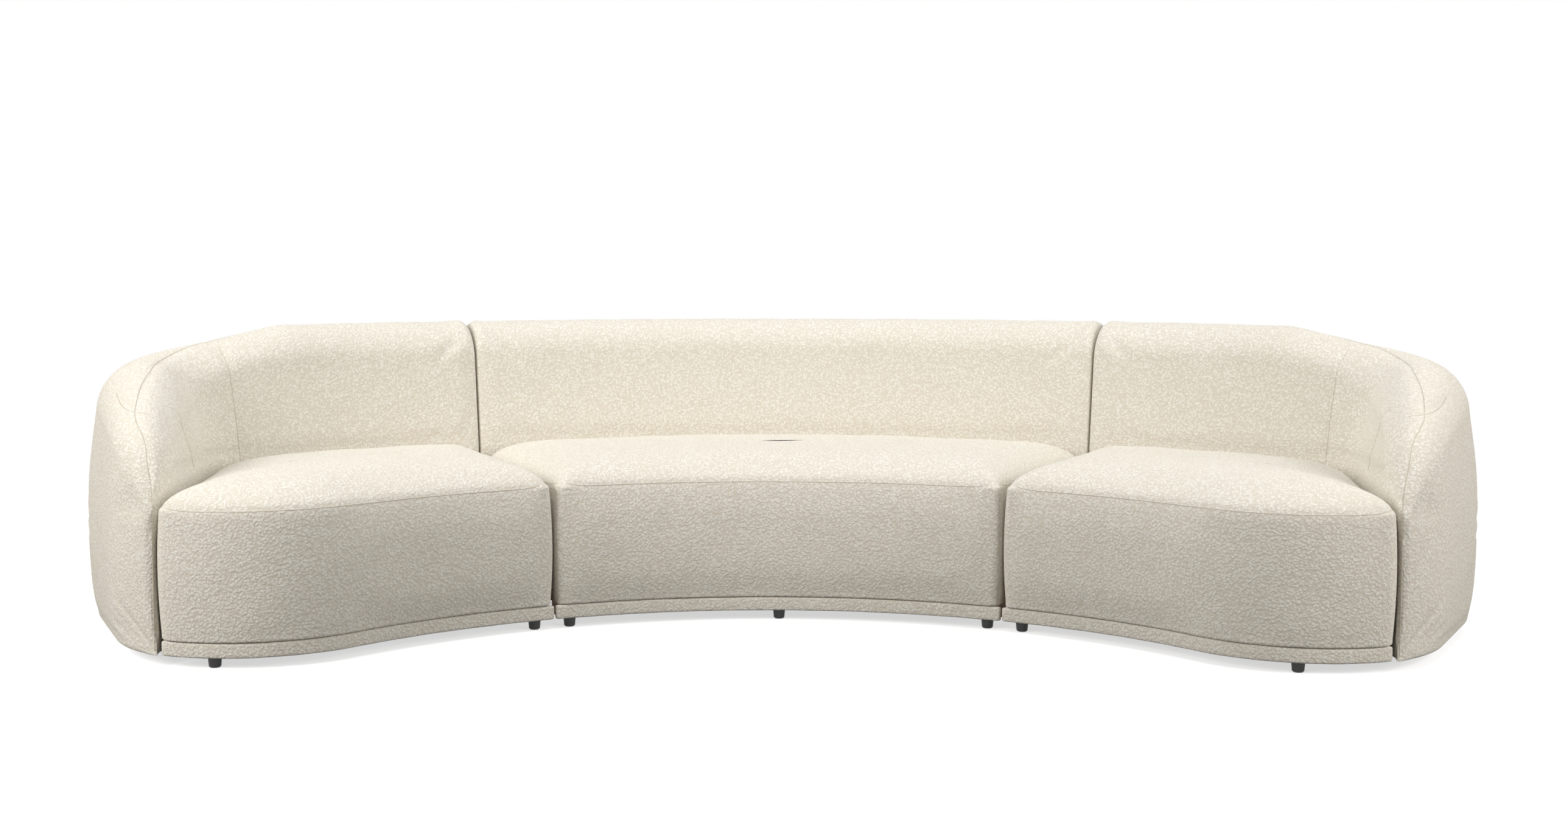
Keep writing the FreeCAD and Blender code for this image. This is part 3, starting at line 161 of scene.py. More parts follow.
def polar(radius: float, degrees: float) -> tuple[float, float]:
    """The plan point at a radius and an angle from +Y towards +X, about the arc centre.

    Args:
        radius: Its distance in metres.
        degrees: Its angle.

    Returns:
        Its X and Y.
    """
    turn = math.radians(degrees)
    return radius * math.sin(turn), radius * math.cos(turn)


def to_row(points: np.ndarray) -> np.ndarray:
    """Points about the arc centre, moved to the sofa's own origin.

    Args:
        points: Plan or space points.

    Returns:
        The moved copy.
    """
    moved = np.array(points, float)
    moved[..., 1] += PLAN.arc_centre_y
    return moved


# Meshes
def new_piece(name: str, points: np.ndarray, faces: list[tuple[int, ...]]) -> bpy.types.Object:
    """Makes a mesh piece whose object sits at the origin.

    Args:
        name: The piece's name.
        points: Its vertices in the sofa's frame.
        faces: Corner numbers of each face.

    Returns:
        The linked object, with merged doubles and outward faces.
    """
    mesh = bpy.data.meshes.new(name)
    mesh.from_pydata([tuple(point) for point in points], [], faces)
    work = bmesh.new()
    work.from_mesh(mesh)
    bmesh.ops.remove_doubles(work, verts=work.verts, dist=1e-4)
    bmesh.ops.dissolve_degenerate(work, edges=work.edges, dist=1e-6)
    bmesh.ops.recalc_face_normals(work, faces=work.faces)
    work.to_mesh(mesh)
    work.free()
    mesh.polygons.foreach_set("use_smooth", [True] * len(mesh.polygons))
    piece = bpy.data.objects.new(name, mesh)
    bpy.context.scene.collection.objects.link(piece)
    return piece


def coordinates(piece: bpy.types.Object) -> np.ndarray:
    """A piece's vertices as an array.

    Args:
        piece: The mesh piece.

    Returns:
        One row of X, Y and Z for each.
    """
    flat = np.empty(len(piece.data.vertices) * 3)
    piece.data.vertices.foreach_get("co", flat)
    return flat.reshape(-1, 3)


def normals(piece: bpy.types.Object) -> np.ndarray:
    """A piece's vertex normals as an array.

    Args:
        piece: The mesh piece.

    Returns:
        One unit row for each vertex.
    """
    flat = np.empty(len(piece.data.vertices) * 3)
    piece.data.vertex_normals.foreach_get("vector", flat)
    return flat.reshape(-1, 3)


def move_to(piece: bpy.types.Object, points: np.ndarray) -> None:
    """Writes new vertex places.

    Args:
        piece: The mesh piece.
        points: One row for each vertex.
    """
    piece.data.vertices.foreach_set("co", points.ravel())
    piece.data.update()


def baked(piece: bpy.types.Object) -> None:
    """Turns a piece's live modifiers into its plain mesh.

    Args:
        piece: The piece to turn plain.
    """
    evaluated = piece.evaluated_get(bpy.context.evaluated_depsgraph_get())
    old = piece.data
    mesh = bpy.data.meshes.new_from_object(evaluated)
    piece.modifiers.clear()
    piece.data = mesh
    mesh.name = piece.name
    bpy.data.meshes.remove(old)


def subdivided(piece: bpy.types.Object, levels: int = 1) -> None:
    """Rounds a piece by subdivision.

    Args:
        piece: The mesh piece.
        levels: How many times.
    """
    finer = piece.modifiers.new("finer", "SUBSURF")
    finer.levels = levels
    finer.render_levels = levels
    baked(piece)


def mirrored(piece: bpy.types.Object, name: str) -> bpy.types.Object:
    """A copy of a piece across the sofa's middle plane, with its faces still outward.

    Args:
        piece: The right-hand piece.
        name: The copy's name.

    Returns:
        The left-hand piece.
    """
    twin = bpy.data.objects.new(name, piece.data.copy())
    twin.data.name = name
    bpy.context.scene.collection.objects.link(twin)
    points = coordinates(twin)
    points[:, 0] *= -1
    move_to(twin, points)
    twin.data.flip_normals()
    for slot in piece.material_slots:
        if not twin.data.materials:
            twin.data.materials.append(slot.material)
    return twin


def grid_faces(rows: int, columns: int, closed: bool) -> list[tuple[int, ...]]:
    """Quads between successive rows of points.

    Args:
        rows: How many rows.
        columns: How many points in a row.
        closed: Whether each row is a loop.

    Returns:
        The corner numbers of each quad.
    """
    last = columns if closed else columns - 1
    return [(row * columns + column, row * columns + (column + 1) % columns,
             (row + 1) * columns + (column + 1) % columns, (row + 1) * columns + column)
            for row in range(rows - 1) for column in range(last)]


@dataclass
class Swelling:
    """A cloth run that lets the fabric swell over its filling.

    Attributes:
        pressure: The push of the filling.
        steps: How many frames the cloth settles for.
        quick_share: How much of its limit a point would move by if the cloth run were skipped; not used.
    """

    pressure: float = 4.0
    steps: int = 20
    quick_share: float = 0.7

    def run(self, piece: bpy.types.Object, limit: np.ndarray) -> None:
        """Swells a piece, no point further than its own limit.

        Args:
            piece: The closed mesh.
            limit: How far each vertex may move, in metres; 0 holds it.
        """
        before = coordinates(piece)
        held = piece.vertex_groups.new(name="held")
        pinned = 1 - np.clip(limit / limit.max(), 0, 1)
        for number, weight in enumerate(pinned):
            if weight > 0.02:
                held.add([number], float(weight), "REPLACE")
        cloth = piece.modifiers.new("swelling", "CLOTH")
        settings = cloth.settings
        settings.quality = 5
        settings.mass = 0.3
        settings.tension_stiffness = settings.compression_stiffness = 8
        settings.shear_stiffness = 5
        settings.bending_stiffness = 0.8
        settings.use_pressure = True
        settings.uniform_pressure_force = self.pressure
        settings.effector_weights.gravity = 0
        settings.vertex_group_mass = held.name
        cloth.point_cache.frame_start = 1
        cloth.point_cache.frame_end = self.steps + 1
        scene = bpy.context.scene
        for step in range(1, self.steps + 1):
            scene.frame_set(step)
        evaluated = piece.evaluated_get(bpy.context.evaluated_depsgraph_get())
        after = np.empty(len(before) * 3)
        evaluated.data.vertices.foreach_get("co", after)
        moved = after.reshape(-1, 3) - before
        far = np.linalg.norm(moved, axis=1)
        share = np.minimum(1, limit / np.maximum(far, 1e-9))
        piece.modifiers.remove(cloth)
        piece.vertex_groups.remove(held)
        scene.frame_set(1)
        move_to(piece, before + moved * share[:, None])


def ripples(points: np.ndarray, waves: tuple[tuple[float, float, float, float], ...]) -> np.ndarray:
    """A slow unevenness over the surface, the sum of slanted sine waves.

    Args:
        points: The places to value.
        waves: For each wave its X, Y and Z rates in radians per metre, and its start.

    Returns:
        Values from about -1 to 1.
    """
    total = np.zeros(len(points))
    for along, across, up, start in waves:
        total += np.sin(points[:, 0] * along + points[:, 1] * across + points[:, 2] * up + start)
    return total / len(waves)


SOFT_WAVES = ((31, 17, 23, 0.4), (-19, 37, 11, 1.9), (13, -29, 41, 3.1), (47, 9, -17, 5.2),
              (-23, -31, 29, 2.6))


# Seat shapes
class SeatOutline:
    """The plan of a seat: rays from a line through its middle meet its edge at any inset."""

    def __init__(self, end_module: bool) -> None:
        """Sets out the rays.

        Args:
            end_module: True for the right end seat, False for the centre one.
        """
        self.end_module = end_module
        half_depth, arm_side_turn = 0.36, 49.5
        middle = (PLAN.front_radius + PLAN.back_inner) / 2
        spare = math.degrees(half_depth / middle)
        near = PLAN.near_end if end_module else PLAN.near_centre
        first = near + spare if end_module else -near + spare
        last = arm_side_turn if end_module else near - spare
        self.rays = self._rays(middle, first, last)

    def _rays(self, radius: float, first: float, last: float) -> np.ndarray:
        """Ray origins and directions all round a middle arc, spaced evenly along the seat's edge.

        Args:
            radius: The middle arc's radius.
            first: The plan angle where the middle arc starts.
            last: The plan angle where it ends.

        Returns:
            A row of X, Y and aim in radians for each ray.
        """
        count = 420
        bend_cap, bend_length = 0.5, 0.035
        turns = np.linspace(first, last, count)
        steps = np.linspace(0, 180, count)[1:-1]
        pairs = [(turn, turn) for turn in turns]
        pairs += [(last, last + step) for step in steps]
        pairs += [(turn, turn + 180) for turn in turns[::-1]]
        pairs += [(first, first + 180 + step) for step in steps]
        origin = np.array([polar(radius, turn) for turn, _ in pairs])
        aim = np.unwrap(np.radians([aimed for _, aimed in pairs]))
        dense = np.column_stack([origin, aim])
        edge = self.edge(dense, HEIGHTS.side_draw)
        ahead = np.roll(edge, -1, axis=0) - edge
        length = np.linalg.norm(ahead, axis=1)
        heading = np.unwrap(np.arctan2(ahead[:, 1], ahead[:, 0]))
        bend = np.abs(np.diff(heading, append=heading[0] + 2 * math.pi * np.sign(heading[-1] - heading[0])))
        weight = np.concatenate([[0], np.cumsum(length + np.minimum(bend, bend_cap) * bend_length)])
        wanted = np.linspace(0, weight[-1], int(weight[-1] / MESH_STEP) + 1)[:-1]
        index = np.interp(wanted, weight, np.arange(len(weight)))
        closed = np.vstack([dense, [dense[0, 0], dense[0, 1], dense[0, 2] + 2 * math.pi]])
        places = np.arange(len(closed))
        return np.column_stack([np.interp(index, places, closed[:, part]) for part in range(3)])

    def clearances(self, points: np.ndarray) -> list[np.ndarray]:
        """How far plan points lie inside each edge of the seat.

        Args:
            points: Plan points about the arc centre.

        Returns:
            One array for each edge, the front first; outside an edge it is negative.
        """
        x, y = points[:, 0], points[:, 1]
        radius = np.hypot(x, y)
        turn = np.degrees(np.arctan2(x, y))
        front = radius - PLAN.front_radius
        back = PLAN.back_inner - PLAN.ease - radius
        if not self.end_module:
            near = math.radians(PLAN.near_centre)
            right = y * math.sin(near) - x * math.cos(near)
            left = y * math.sin(near) + x * math.cos(near)
            return [front, back, right, left]
        near = math.radians(PLAN.near_end)
        joint = x * math.cos(near) - y * math.sin(near)
        lobe = PLAN.seat_lobe_radius - np.hypot(x - PLAN.lobe[0], y - PLAN.lobe[1])
        front = np.where(turn < PLAN.turn_angle, front, lobe)
        heading = math.radians(PLAN.arm_heading)
        side = ((PLAN.arm_front[0] - x) * math.cos(heading) - (PLAN.arm_front[1] - y) * math.sin(heading)
                - PLAN.ease + front_shift(y))
        away_x, away_y = x - PLAN.corner[0], y - PLAN.corner[1]
        corner = PLAN.corner_radius - PLAN.ease - np.hypot(away_x, away_y)
        lean = np.degrees(np.arctan2(away_y, away_x))
        in_corner = (lean <= 90 - PLAN.corner_angle) & (lean >= -PLAN.arm_heading)
        wall = np.where(in_corner, corner, np.where(lean > 90 - PLAN.corner_angle, back, side))
        ahead = away_y < -0.05
        wall = np.where(ahead, side, wall)
        wall = np.where((turn < PLAN.corner_angle) & ~ahead, back, wall)
        return [front, wall, joint]

    def edge(self, rays: np.ndarray, inset: float) -> np.ndarray:
        """Where rays meet the edge line drawn in by an inset, its corners rounded.

        Args:
            rays: A row of X, Y and aim for each.
            inset: How far inside the edge, in metres.

        Returns:
            Plan points about the arc centre.
        """
        farthest, halvings = 1.2, 40
        low, high = np.zeros(len(rays)), np.full(len(rays), farthest)
        aim = np.column_stack([np.sin(rays[:, 2]), np.cos(rays[:, 2])])
        for _ in range(halvings):
            middle = (low + high) / 2
            short = sum(np.maximum(PLAN.rounding - (clear - inset), 0) ** 2
                        for clear in self.clearances(rays[:, :2] + aim * middle[:, None]))
            inside = np.sqrt(short) < PLAN.rounding
            low, high = np.where(inside, middle, low), np.where(inside, high, middle)
        return rays[:, :2] + aim * low[:, None]

    def ring(self, inset: float, level: float | np.ndarray) -> np.ndarray:
        """The edge at an inset as 3-D points in the sofa's frame.

        Args:
            inset: How far inside the edge.
            level: The height of the points.

        Returns:
            The loop of points.
        """
        plan = self.edge(self.rays, inset)
        return to_row(np.column_stack([plan, np.broadcast_to(level, len(plan))]))

    def gathered(self, ring: np.ndarray, shares: list[float], rise: float) -> list[np.ndarray]:
        """Rings that close in from one ring to the middle line, rising on the way.

        Args:
            ring: The outermost ring.
            shares: How far in each ring lies, 1 on the middle line.
            rise: How far the innermost stands above the outermost.

        Returns:
            One ring for each share.
        """
        middle = to_row(np.column_stack([self.rays[:, :2], ring[:, 2]]))
        found = []
        for share in shares:
            closer = ring + (middle - ring) * share
            closer[:, 2] += rise * math.sin(share * math.pi / 2)
            found.append(closer)
        return found


def crown_profile(steps: int) -> list[tuple[float, float]]:
    """Insets and levels over the seat's crown, from its seam up.

    Args:
        steps: How many steps the crown has.

    Returns:
        Pairs of inset and level.
    """
    first, last = math.radians(HEIGHTS.crown_first), math.radians(HEIGHTS.crown_last)
    found = []
    for step in range(steps + 1):
        turn = first + (last - first) * step / steps
        rise = (math.sin(turn) - math.sin(first)) / (1 - math.sin(first))
        found.append((HEIGHTS.side_draw + HEIGHTS.crown_reach * (math.cos(first) - math.cos(turn)),
                      HEIGHTS.seam + HEIGHTS.crown_rise * rise))
    return found


def seat_shell(name: str, outline: SeatOutline) -> bpy.types.Object:
    """The seat's fabric as a closed form: a flat underside, drawn-in sides, a seam and a crowned top.

    Args:
        name: The piece's name.
        outline: The seat's plan.

    Returns:
        The fabric.
    """
    slack, lift = 0.0015, 0.0005
    side_rows, crown_rows, top_rows, top_rise = 19, 11, 15, 0.0055
    rows = outline.gathered(outline.ring(0.030, HEIGHTS.band_top + lift), [1, 0.8, 0.6, 0.4, 0.2, 0], 0)
    rows += [outline.ring(inset, HEIGHTS.band_top + up) for inset, up in
             ((0.014, lift), (0.0085, 0.0015), (0.0060, 0.0045))]
    middle = (HEIGHTS.band_top + HEIGHTS.seam) / 2
    half = (HEIGHTS.seam - HEIGHTS.band_top) / 2
    for level in np.linspace(HEIGHTS.band_top + 0.012, HEIGHTS.seam - 0.010, side_rows):
        rows.append(outline.ring(slack + HEIGHTS.side_draw * ((level - middle) / half) ** 2, level))
    crown = crown_profile(crown_rows)
    rows.append(outline.ring(slack + HEIGHTS.side_draw - 0.0006, HEIGHTS.seam - 0.004))
    rows += [outline.ring(slack + inset, level) for inset, level in crown]
    rows += outline.gathered(rows[-1], [step / top_rows for step in range(1, top_rows + 1)], top_rise)
    points = np.vstack(rows)
    return new_piece(name, points, grid_faces(len(rows), len(outline.rays), True))


# Wall shapes
@dataclass
class Station:
    """One upright section through a back or arm.

    Attributes:
        start: The plan point on its inner face.
        heading: The way across it, outwards.
        thickness: From inner to outer face.
        top: The level of its crest.
        inset: How far its sides are drawn in.
    """

    start: tuple[float, float]
    heading: tuple[float, float]
    thickness: float
    top: float
    inset: float = 0.0


class Wall:
    """The run of a module's back, and of the arm that an end module's back turns into."""

    inner_points: int = 62
    outer_points: int = 62
    round_points: int = 26

    def __init__(self, end_module: bool) -> None:
        """Lays out the stations of one wall.

        Args:
            end_module: True for the right end's back and arm, False for the centre back.
        """
        self.end_module = end_module
        self.stations = self._end_stations() if end_module else self._centre_stations()

    def _cap(self, plane: float, way: int, outward: bool) -> list[Station]:
        """Stations of the rounded end at a joint, in the order of travel.

        Args:
            plane: The joint's plan angle.
            way: 1 where the wall lies past the joint, else -1.
            outward: Whether the stations run towards the joint.

        Returns:
            The stations.
        """
        reach, side = ROUNDED_END, 0.009
        found = []
        for step in range(7):
            turn = math.pi / 2 * step / 6
            angle = plane + way * math.degrees(reach * (1 - math.sin(turn)) / MIDDLE_LINE)
            over = 1 - math.cos(turn)
            found.append(Station(polar(PLAN.back_inner, angle), polar(1, angle), PLAN.wall,
                                 HEIGHTS.back + side * over - reach * over, side * over))
        return found if outward else found[::-1]

    def _arc(self, first: float, last: float) -> list[Station]:
        """Plain stations along the back's arc.

        Args:
            first: The plan angle it starts at.
            last: Where it ends.

        Returns:
            The stations.
        """
        count = max(2, round(math.radians(last - first) * PLAN.back_inner / MESH_STEP))
        return [Station(polar(PLAN.back_inner, angle), polar(1, angle), PLAN.wall, HEIGHTS.back)
                for angle in np.linspace(first, last, count + 1)]

    def _centre_stations(self) -> list[Station]:
        """Lays out the centre back.

        Returns:
            Its stations from its left joint to its right one.
        """
        near = PLAN.near_centre
        cap = math.degrees(ROUNDED_END / MIDDLE_LINE)
        return (self._cap(-near, 1, False) + self._arc(-near + cap, near - cap)[1:-1]
                + self._cap(near, -1, True))

    def _crest(self, y: float) -> float:
        """The crest's level over an inner point: it falls towards the arm's front.

        Args:
            y: The point's distance in front of the arc centre.

        Returns:
            The level.
        """
        first = PLAN.back_inner * math.cos(math.radians(HEIGHTS.fall_angle))
        share = max(0.0, (first - y) / (first - PLAN.arm_front[1]))
        top = HEIGHTS.back - HEIGHTS.arm_fall * share ** HEIGHTS.arm_power
        over = min(1.0, max(0.0, (share - 1 + HEIGHTS.nose_share) / HEIGHTS.nose_share))
        return top - HEIGHTS.nose_drop * (1 - math.sqrt(max(0.0, 1 - over * over)))

    @staticmethod
    def _circle_hit(start: tuple[float, float], heading: tuple[float, float], centre: tuple[float, float],
                    radius: float) -> float:
        """How far a ray from inside a circle runs to it.

        Args:
            start: The ray's plan point.
            heading: Its unit way.
            centre: The circle's centre.
            radius: The circle's radius.

        Returns:
            The distance.
        """
        x, y = start[0] - centre[0], start[1] - centre[1]
        across = x * heading[0] + y * heading[1]
        return -across + math.sqrt(max(0.0, across * across - (x * x + y * y - radius * radius)))

    def _reach(self, start: tuple[float, float], heading: tuple[float, float]) -> float:
        """The wall's thickness along a ray from its inner face: the nearest of its four outer lines.

        Args:
            start: The ray's plan point.
            heading: Its unit way.

        Returns:
            The thickness.
        """
        side = math.radians(PLAN.side_normal)
        wide = 90 - PLAN.outer_corner_angle
        for centre, radius, low, high in (((0, 0), PLAN.back_outer, wide, 180),
                                          (PLAN.turn, PLAN.turn_radius, PLAN.side_normal, wide),
                                          (PLAN.lobe, PLAN.nose_radius, -180, PLAN.side_normal)):
            far = self._circle_hit(start, heading, centre, radius)
            x, y = start[0] + heading[0] * far, start[1] + heading[1] * far
            normal = math.degrees(math.atan2(y - centre[1], x - centre[0]))
            if low - 1e-6 <= normal <= high + 1e-6:
                return far
        across = (math.cos(side), math.sin(side))
        offset = across[0] * PLAN.lobe[0] + across[1] * PLAN.lobe[1] + PLAN.nose_radius
        return ((offset - start[0] * across[0] - start[1] * across[1])
                / (heading[0] * across[0] + heading[1] * across[1]))

    def _end_stations(self) -> list[Station]:
        """Lays out the right end's back and arm.

        Returns:
            Its stations from its joint, round the corner and down the arm.
        """
        near = PLAN.near_end
        found = self._cap(near, 1, False)
        for station in self._arc(near + math.degrees(ROUNDED_END / MIDDLE_LINE), PLAN.corner_angle)[1:]:
            top = self._crest(station.start[1])
            found.append(Station(station.start, station.heading, station.thickness, top))
        for lean in np.linspace(90 - PLAN.corner_angle, -PLAN.arm_heading, 19)[1:]:
            turn = math.radians(lean)
            heading = (math.cos(turn), math.sin(turn))
            start = (PLAN.corner[0] + heading[0] * PLAN.corner_radius,
                     PLAN.corner[1] + heading[1] * PLAN.corner_radius)
            found.append(Station(start, heading, self._reach(start, heading), self._crest(start[1])))
        heading = math.radians(PLAN.arm_heading)
        ahead = (math.sin(heading), math.cos(heading))
        across = (math.cos(heading), -math.sin(heading))
        closing = [0.088, 0.076, 0.064, 0.053, 0.043, 0.034, 0.026, 0.019, 0.013, 0.008, 0.004, 0.0015, 0.0]
        fronts = np.concatenate([np.linspace(PLAN.arm_length, 0.10, 27)[1:], closing])
        for front in fronts:
            y = PLAN.arm_front[1] + ahead[1] * front
            give = float(front_shift(y))
            start = (PLAN.arm_front[0] + ahead[0] * front + across[0] * give, y + across[1] * give)
            found.append(Station(start, across, self._reach(start, across), self._crest(start[1])))
        return found

    def section(self, station: Station) -> np.ndarray:
        """A station's section: up the inner face, over the crest, down the outside.

        Args:
            station: Where it stands.

        Returns:
            Points in the sofa's frame, from the inner foot to the outer foot.
        """
        share = station.thickness / PLAN.wall
        lean, barrel, draw = HEIGHTS.lean * share, HEIGHTS.barrel_top * share, HEIGHTS.barrel_low * share
        left, right = station.inset, station.thickness - station.inset
        half = (right - barrel - left - lean) / 2
        shoulder = station.top - station.inset - half
        ratio = math.sqrt(HEIGHTS.barrel_top / HEIGHTS.barrel_low)
        knee = min(HEIGHTS.knee, shoulder - 0.02)
        low = HEIGHTS.base
        foot = min(0.010, station.thickness * 0.2)
        foot_turns = 3
        across, up = [], []
        for turn in np.linspace(0, math.pi / 2, foot_turns + 1)[:-1]:
            across.append(left + foot * (1 - math.sin(turn)))
            up.append(low + foot * (1 - math.cos(turn)))
        straight = np.linspace(low + foot, shoulder, self.inner_points - foot_turns)
        across += list(left + lean * np.clip((straight - knee) / (shoulder - knee), 0, 1))
        up += list(straight)
        for turn in np.linspace(math.pi, 0, self.round_points + 2)[1:-1]:
            across.append(left + lean + half + half * math.cos(turn))
            up.append(shoulder + half * math.sin(turn))
        descent = np.linspace(shoulder, low + foot, self.outer_points - foot_turns)
        widest = (shoulder + ratio * low) / (1 + ratio)
        across += list(right - draw * ((descent - widest) / (widest - low)) ** 2)
        up += list(descent)
        for turn in np.linspace(math.pi / 2, 0, foot_turns + 1)[1:]:
            across.append(right - draw - foot * (1 - math.sin(turn)))
            up.append(low + foot * (1 - math.cos(turn)))
        across, up = np.array(across), np.array(up)
        return to_row(np.column_stack([station.start[0] + station.heading[0] * across,
                                       station.start[1] + station.heading[1] * across, up]))

    def shell(self, name: str) -> bpy.types.Object:
        """The wall's fabric as a closed form.

        Args:
            name: The piece's name.

        Returns:
            The fabric.
        """
        sections = [self.section(station) for station in self.stations]
        bottom = 8
        rows = []
        for section in sections:
            share = np.linspace(0, 1, bottom + 1)[1:-1, None]
            rows.append(np.vstack([section, section[-1] + (section[0] - section[-1]) * share]))
        columns = len(rows[0])
        points = [np.vstack(rows)]
        faces = grid_faces(len(rows), columns, True)
        total = len(rows) * columns
        for row in (0, len(rows) - 1):
            total = self._close(rows[row], len(sections[0]), row * columns, points, faces, total)
        return new_piece(name, np.vstack(points), faces)

    @staticmethod
    def _close(row: np.ndarray, upright: int, offset: int, points: list[np.ndarray],
               faces: list[tuple[int, ...]], total: int) -> int:
        """Fills one end of the wall with a ladder of quads between its inner and outer side.

        Args:
            row: The end's loop of points.
            upright: How many of them form the section above the foot.
            offset: The number of the loop's first vertex.
            points: Arrays of vertices, added to.
            faces: The faces, added to.
            total: How many vertices there are so far.

        Returns:
            How many vertices there are afterwards.
        """
        inner = list(range(upright // 2))
        outer = [upright - 1 - number for number in inner]
        rungs = 6
        lines = []
        for a, b in zip(inner, outer):
            share = np.linspace(0, 1, rungs + 1)[1:-1, None]
            points.append(row[a] + (row[b] - row[a]) * share)
            lines.append([offset + a] + list(range(total, total + rungs - 1)) + [offset + b])
            total += rungs - 1
        for first, second in zip(lines, lines[1:]):
            for rung in range(rungs):
                faces.append((first[rung], first[rung + 1], second[rung + 1], second[rung]))
        bottom = [offset + number for number in range(upright, len(row))]
        faces.append(tuple(lines[0] + bottom))
        return total


# Repeated and swept details
class RunTree:
    """A node tree that sweeps a round line along a path and sets short bars on it at even steps."""

    INPUTS = ("Line Radius", "Line Step", "Bar Step", "Bar Length", "Bar Width", "Bar Height", "Bar Lift")

    def __init__(self, name: str) -> None:
        """Builds the tree with its sizes as named inputs.

        Args:
            name: The tree's name.
        """
        self.tree = bpy.data.node_groups.new(name, "GeometryNodeTree")
        face = self.tree.interface
        face.new_socket("Geometry", in_out="INPUT", socket_type="NodeSocketGeometry")
        self.sockets = {}
        for label in self.INPUTS:
            self.sockets[label] = face.new_socket(label, in_out="INPUT", socket_type="NodeSocketFloat")
        paint = face.new_socket("Material", in_out="INPUT", socket_type="NodeSocketMaterial")
        self.sockets["Material"] = paint
        face.new_socket("Geometry", in_out="OUTPUT", socket_type="NodeSocketGeometry")
        self._wire()

    def _node(self, kind: str, **values: object) -> bpy.types.Node:
        """Adds a node and sets its own properties.

        Args:
            kind: The node's type.
            **values: Its properties.

        Returns:
            The node.
        """
        node = self.tree.nodes.new(kind)
        for key, value in values.items():
            setattr(node, key, value)
        return node

    def _wire(self) -> None:
        """Joins the nodes: path, swept line, bars, one mesh, one material."""
        link = self.tree.links.new
        given = self._node("NodeGroupInput")
        result = self._node("NodeGroupOutput")
        path = self._node("GeometryNodeMeshToCurve")
        fine = self._node("GeometryNodeResampleCurve", mode="LENGTH")
        round_line = self._node("GeometryNodeCurvePrimitiveCircle")
        round_line.inputs["Resolution"].default_value = 6
        sweep = self._node("GeometryNodeCurveToMesh")
        sweep.inputs["Fill Caps"].default_value = True
        steps = self._node("GeometryNodeResampleCurve", mode="LENGTH")
        bar = self._node("GeometryNodeMeshCube")
        bar_size = self._node("ShaderNodeCombineXYZ")
        tangent = self._node("GeometryNodeInputTangent")
        align = self._node("FunctionNodeAlignRotationToVector", axis="X")
        place = self._node("GeometryNodeInstanceOnPoints")
        lift = self._node("GeometryNodeTranslateInstances")
        lift_by = self._node("ShaderNodeCombineXYZ")
        solid = self._node("GeometryNodeRealizeInstances")
        both = self._node("GeometryNodeJoinGeometry")
        paint = self._node("GeometryNodeSetMaterial")
        link(given.outputs["Geometry"], path.inputs["Mesh"])
        link(path.outputs[0], fine.inputs["Curve"])
        link(given.outputs["Line Step"], fine.inputs["Length"])
        link(given.outputs["Line Radius"], round_line.inputs["Radius"])
        link(fine.outputs[0], sweep.inputs["Curve"])
        link(round_line.outputs[0], sweep.inputs["Profile Curve"])
        link(path.outputs[0], steps.inputs["Curve"])
        link(given.outputs["Bar Step"], steps.inputs["Length"])
        link(given.outputs["Bar Length"], bar_size.inputs[0])
        link(given.outputs["Bar Width"], bar_size.inputs[1])
        link(given.outputs["Bar Height"], bar_size.inputs[2])
        link(bar_size.outputs[0], bar.inputs["Size"])
        link(tangent.outputs[0], align.inputs["Vector"])
        link(steps.outputs[0], place.inputs["Points"])
        link(bar.outputs["Mesh"], place.inputs["Instance"])
        link(align.outputs[0], place.inputs["Rotation"])
        link(given.outputs["Bar Lift"], lift_by.inputs[2])
        link(place.outputs[0], lift.inputs["Instances"])
        link(lift_by.outputs[0], lift.inputs["Translation"])
        lift.inputs["Local Space"].default_value = False
        link(lift.outputs[0], both.inputs[0])
        link(sweep.outputs[0], both.inputs[0])
        link(both.outputs[0], solid.inputs[0])
        link(solid.outputs[0], paint.inputs["Geometry"])
        link(given.outputs["Material"], paint.inputs["Material"])
        link(paint.outputs[0], result.inputs[0])

    def along(self, name: str, paths: list[np.ndarray], material: bpy.types.Material,
              **sizes: float) -> bpy.types.Object:
        """Runs the tree along polylines and keeps the result as one plain mesh.

        Args:
            name: The piece's name.
            paths: Polylines in the sofa's frame.
            material: What the result is made of.
            **sizes: Values for the tree's inputs, with underscores for spaces.

        Returns:
            The finished piece.
        """
        mesh = bpy.data.meshes.new(name)
        points, edges = [], []
        for path in paths:
            first = len(points)
            points += [tuple(point) for point in path]
            edges += [(first + number, first + number + 1) for number in range(len(path) - 1)]
        mesh.from_pydata(points, edges, [])
        piece = bpy.data.objects.new(name, mesh)
        bpy.context.scene.collection.objects.link(piece)
        run = piece.modifiers.new("run", "NODES")
        run.node_group = self.tree
        run[self.sockets["Material"].identifier] = material
        for label, value in sizes.items():
            run[self.sockets[label.replace("_", " ")].identifier] = value
        bpy.context.view_layer.update()
        baked(piece)
        piece.data.polygons.foreach_set("use_smooth", [True] * len(piece.data.polygons))
        return piece


# After each time that a seam is drawn onto its surface, it is smoothed so often.
SMOOTHING_PASSES = (40, 40, 30, 3)


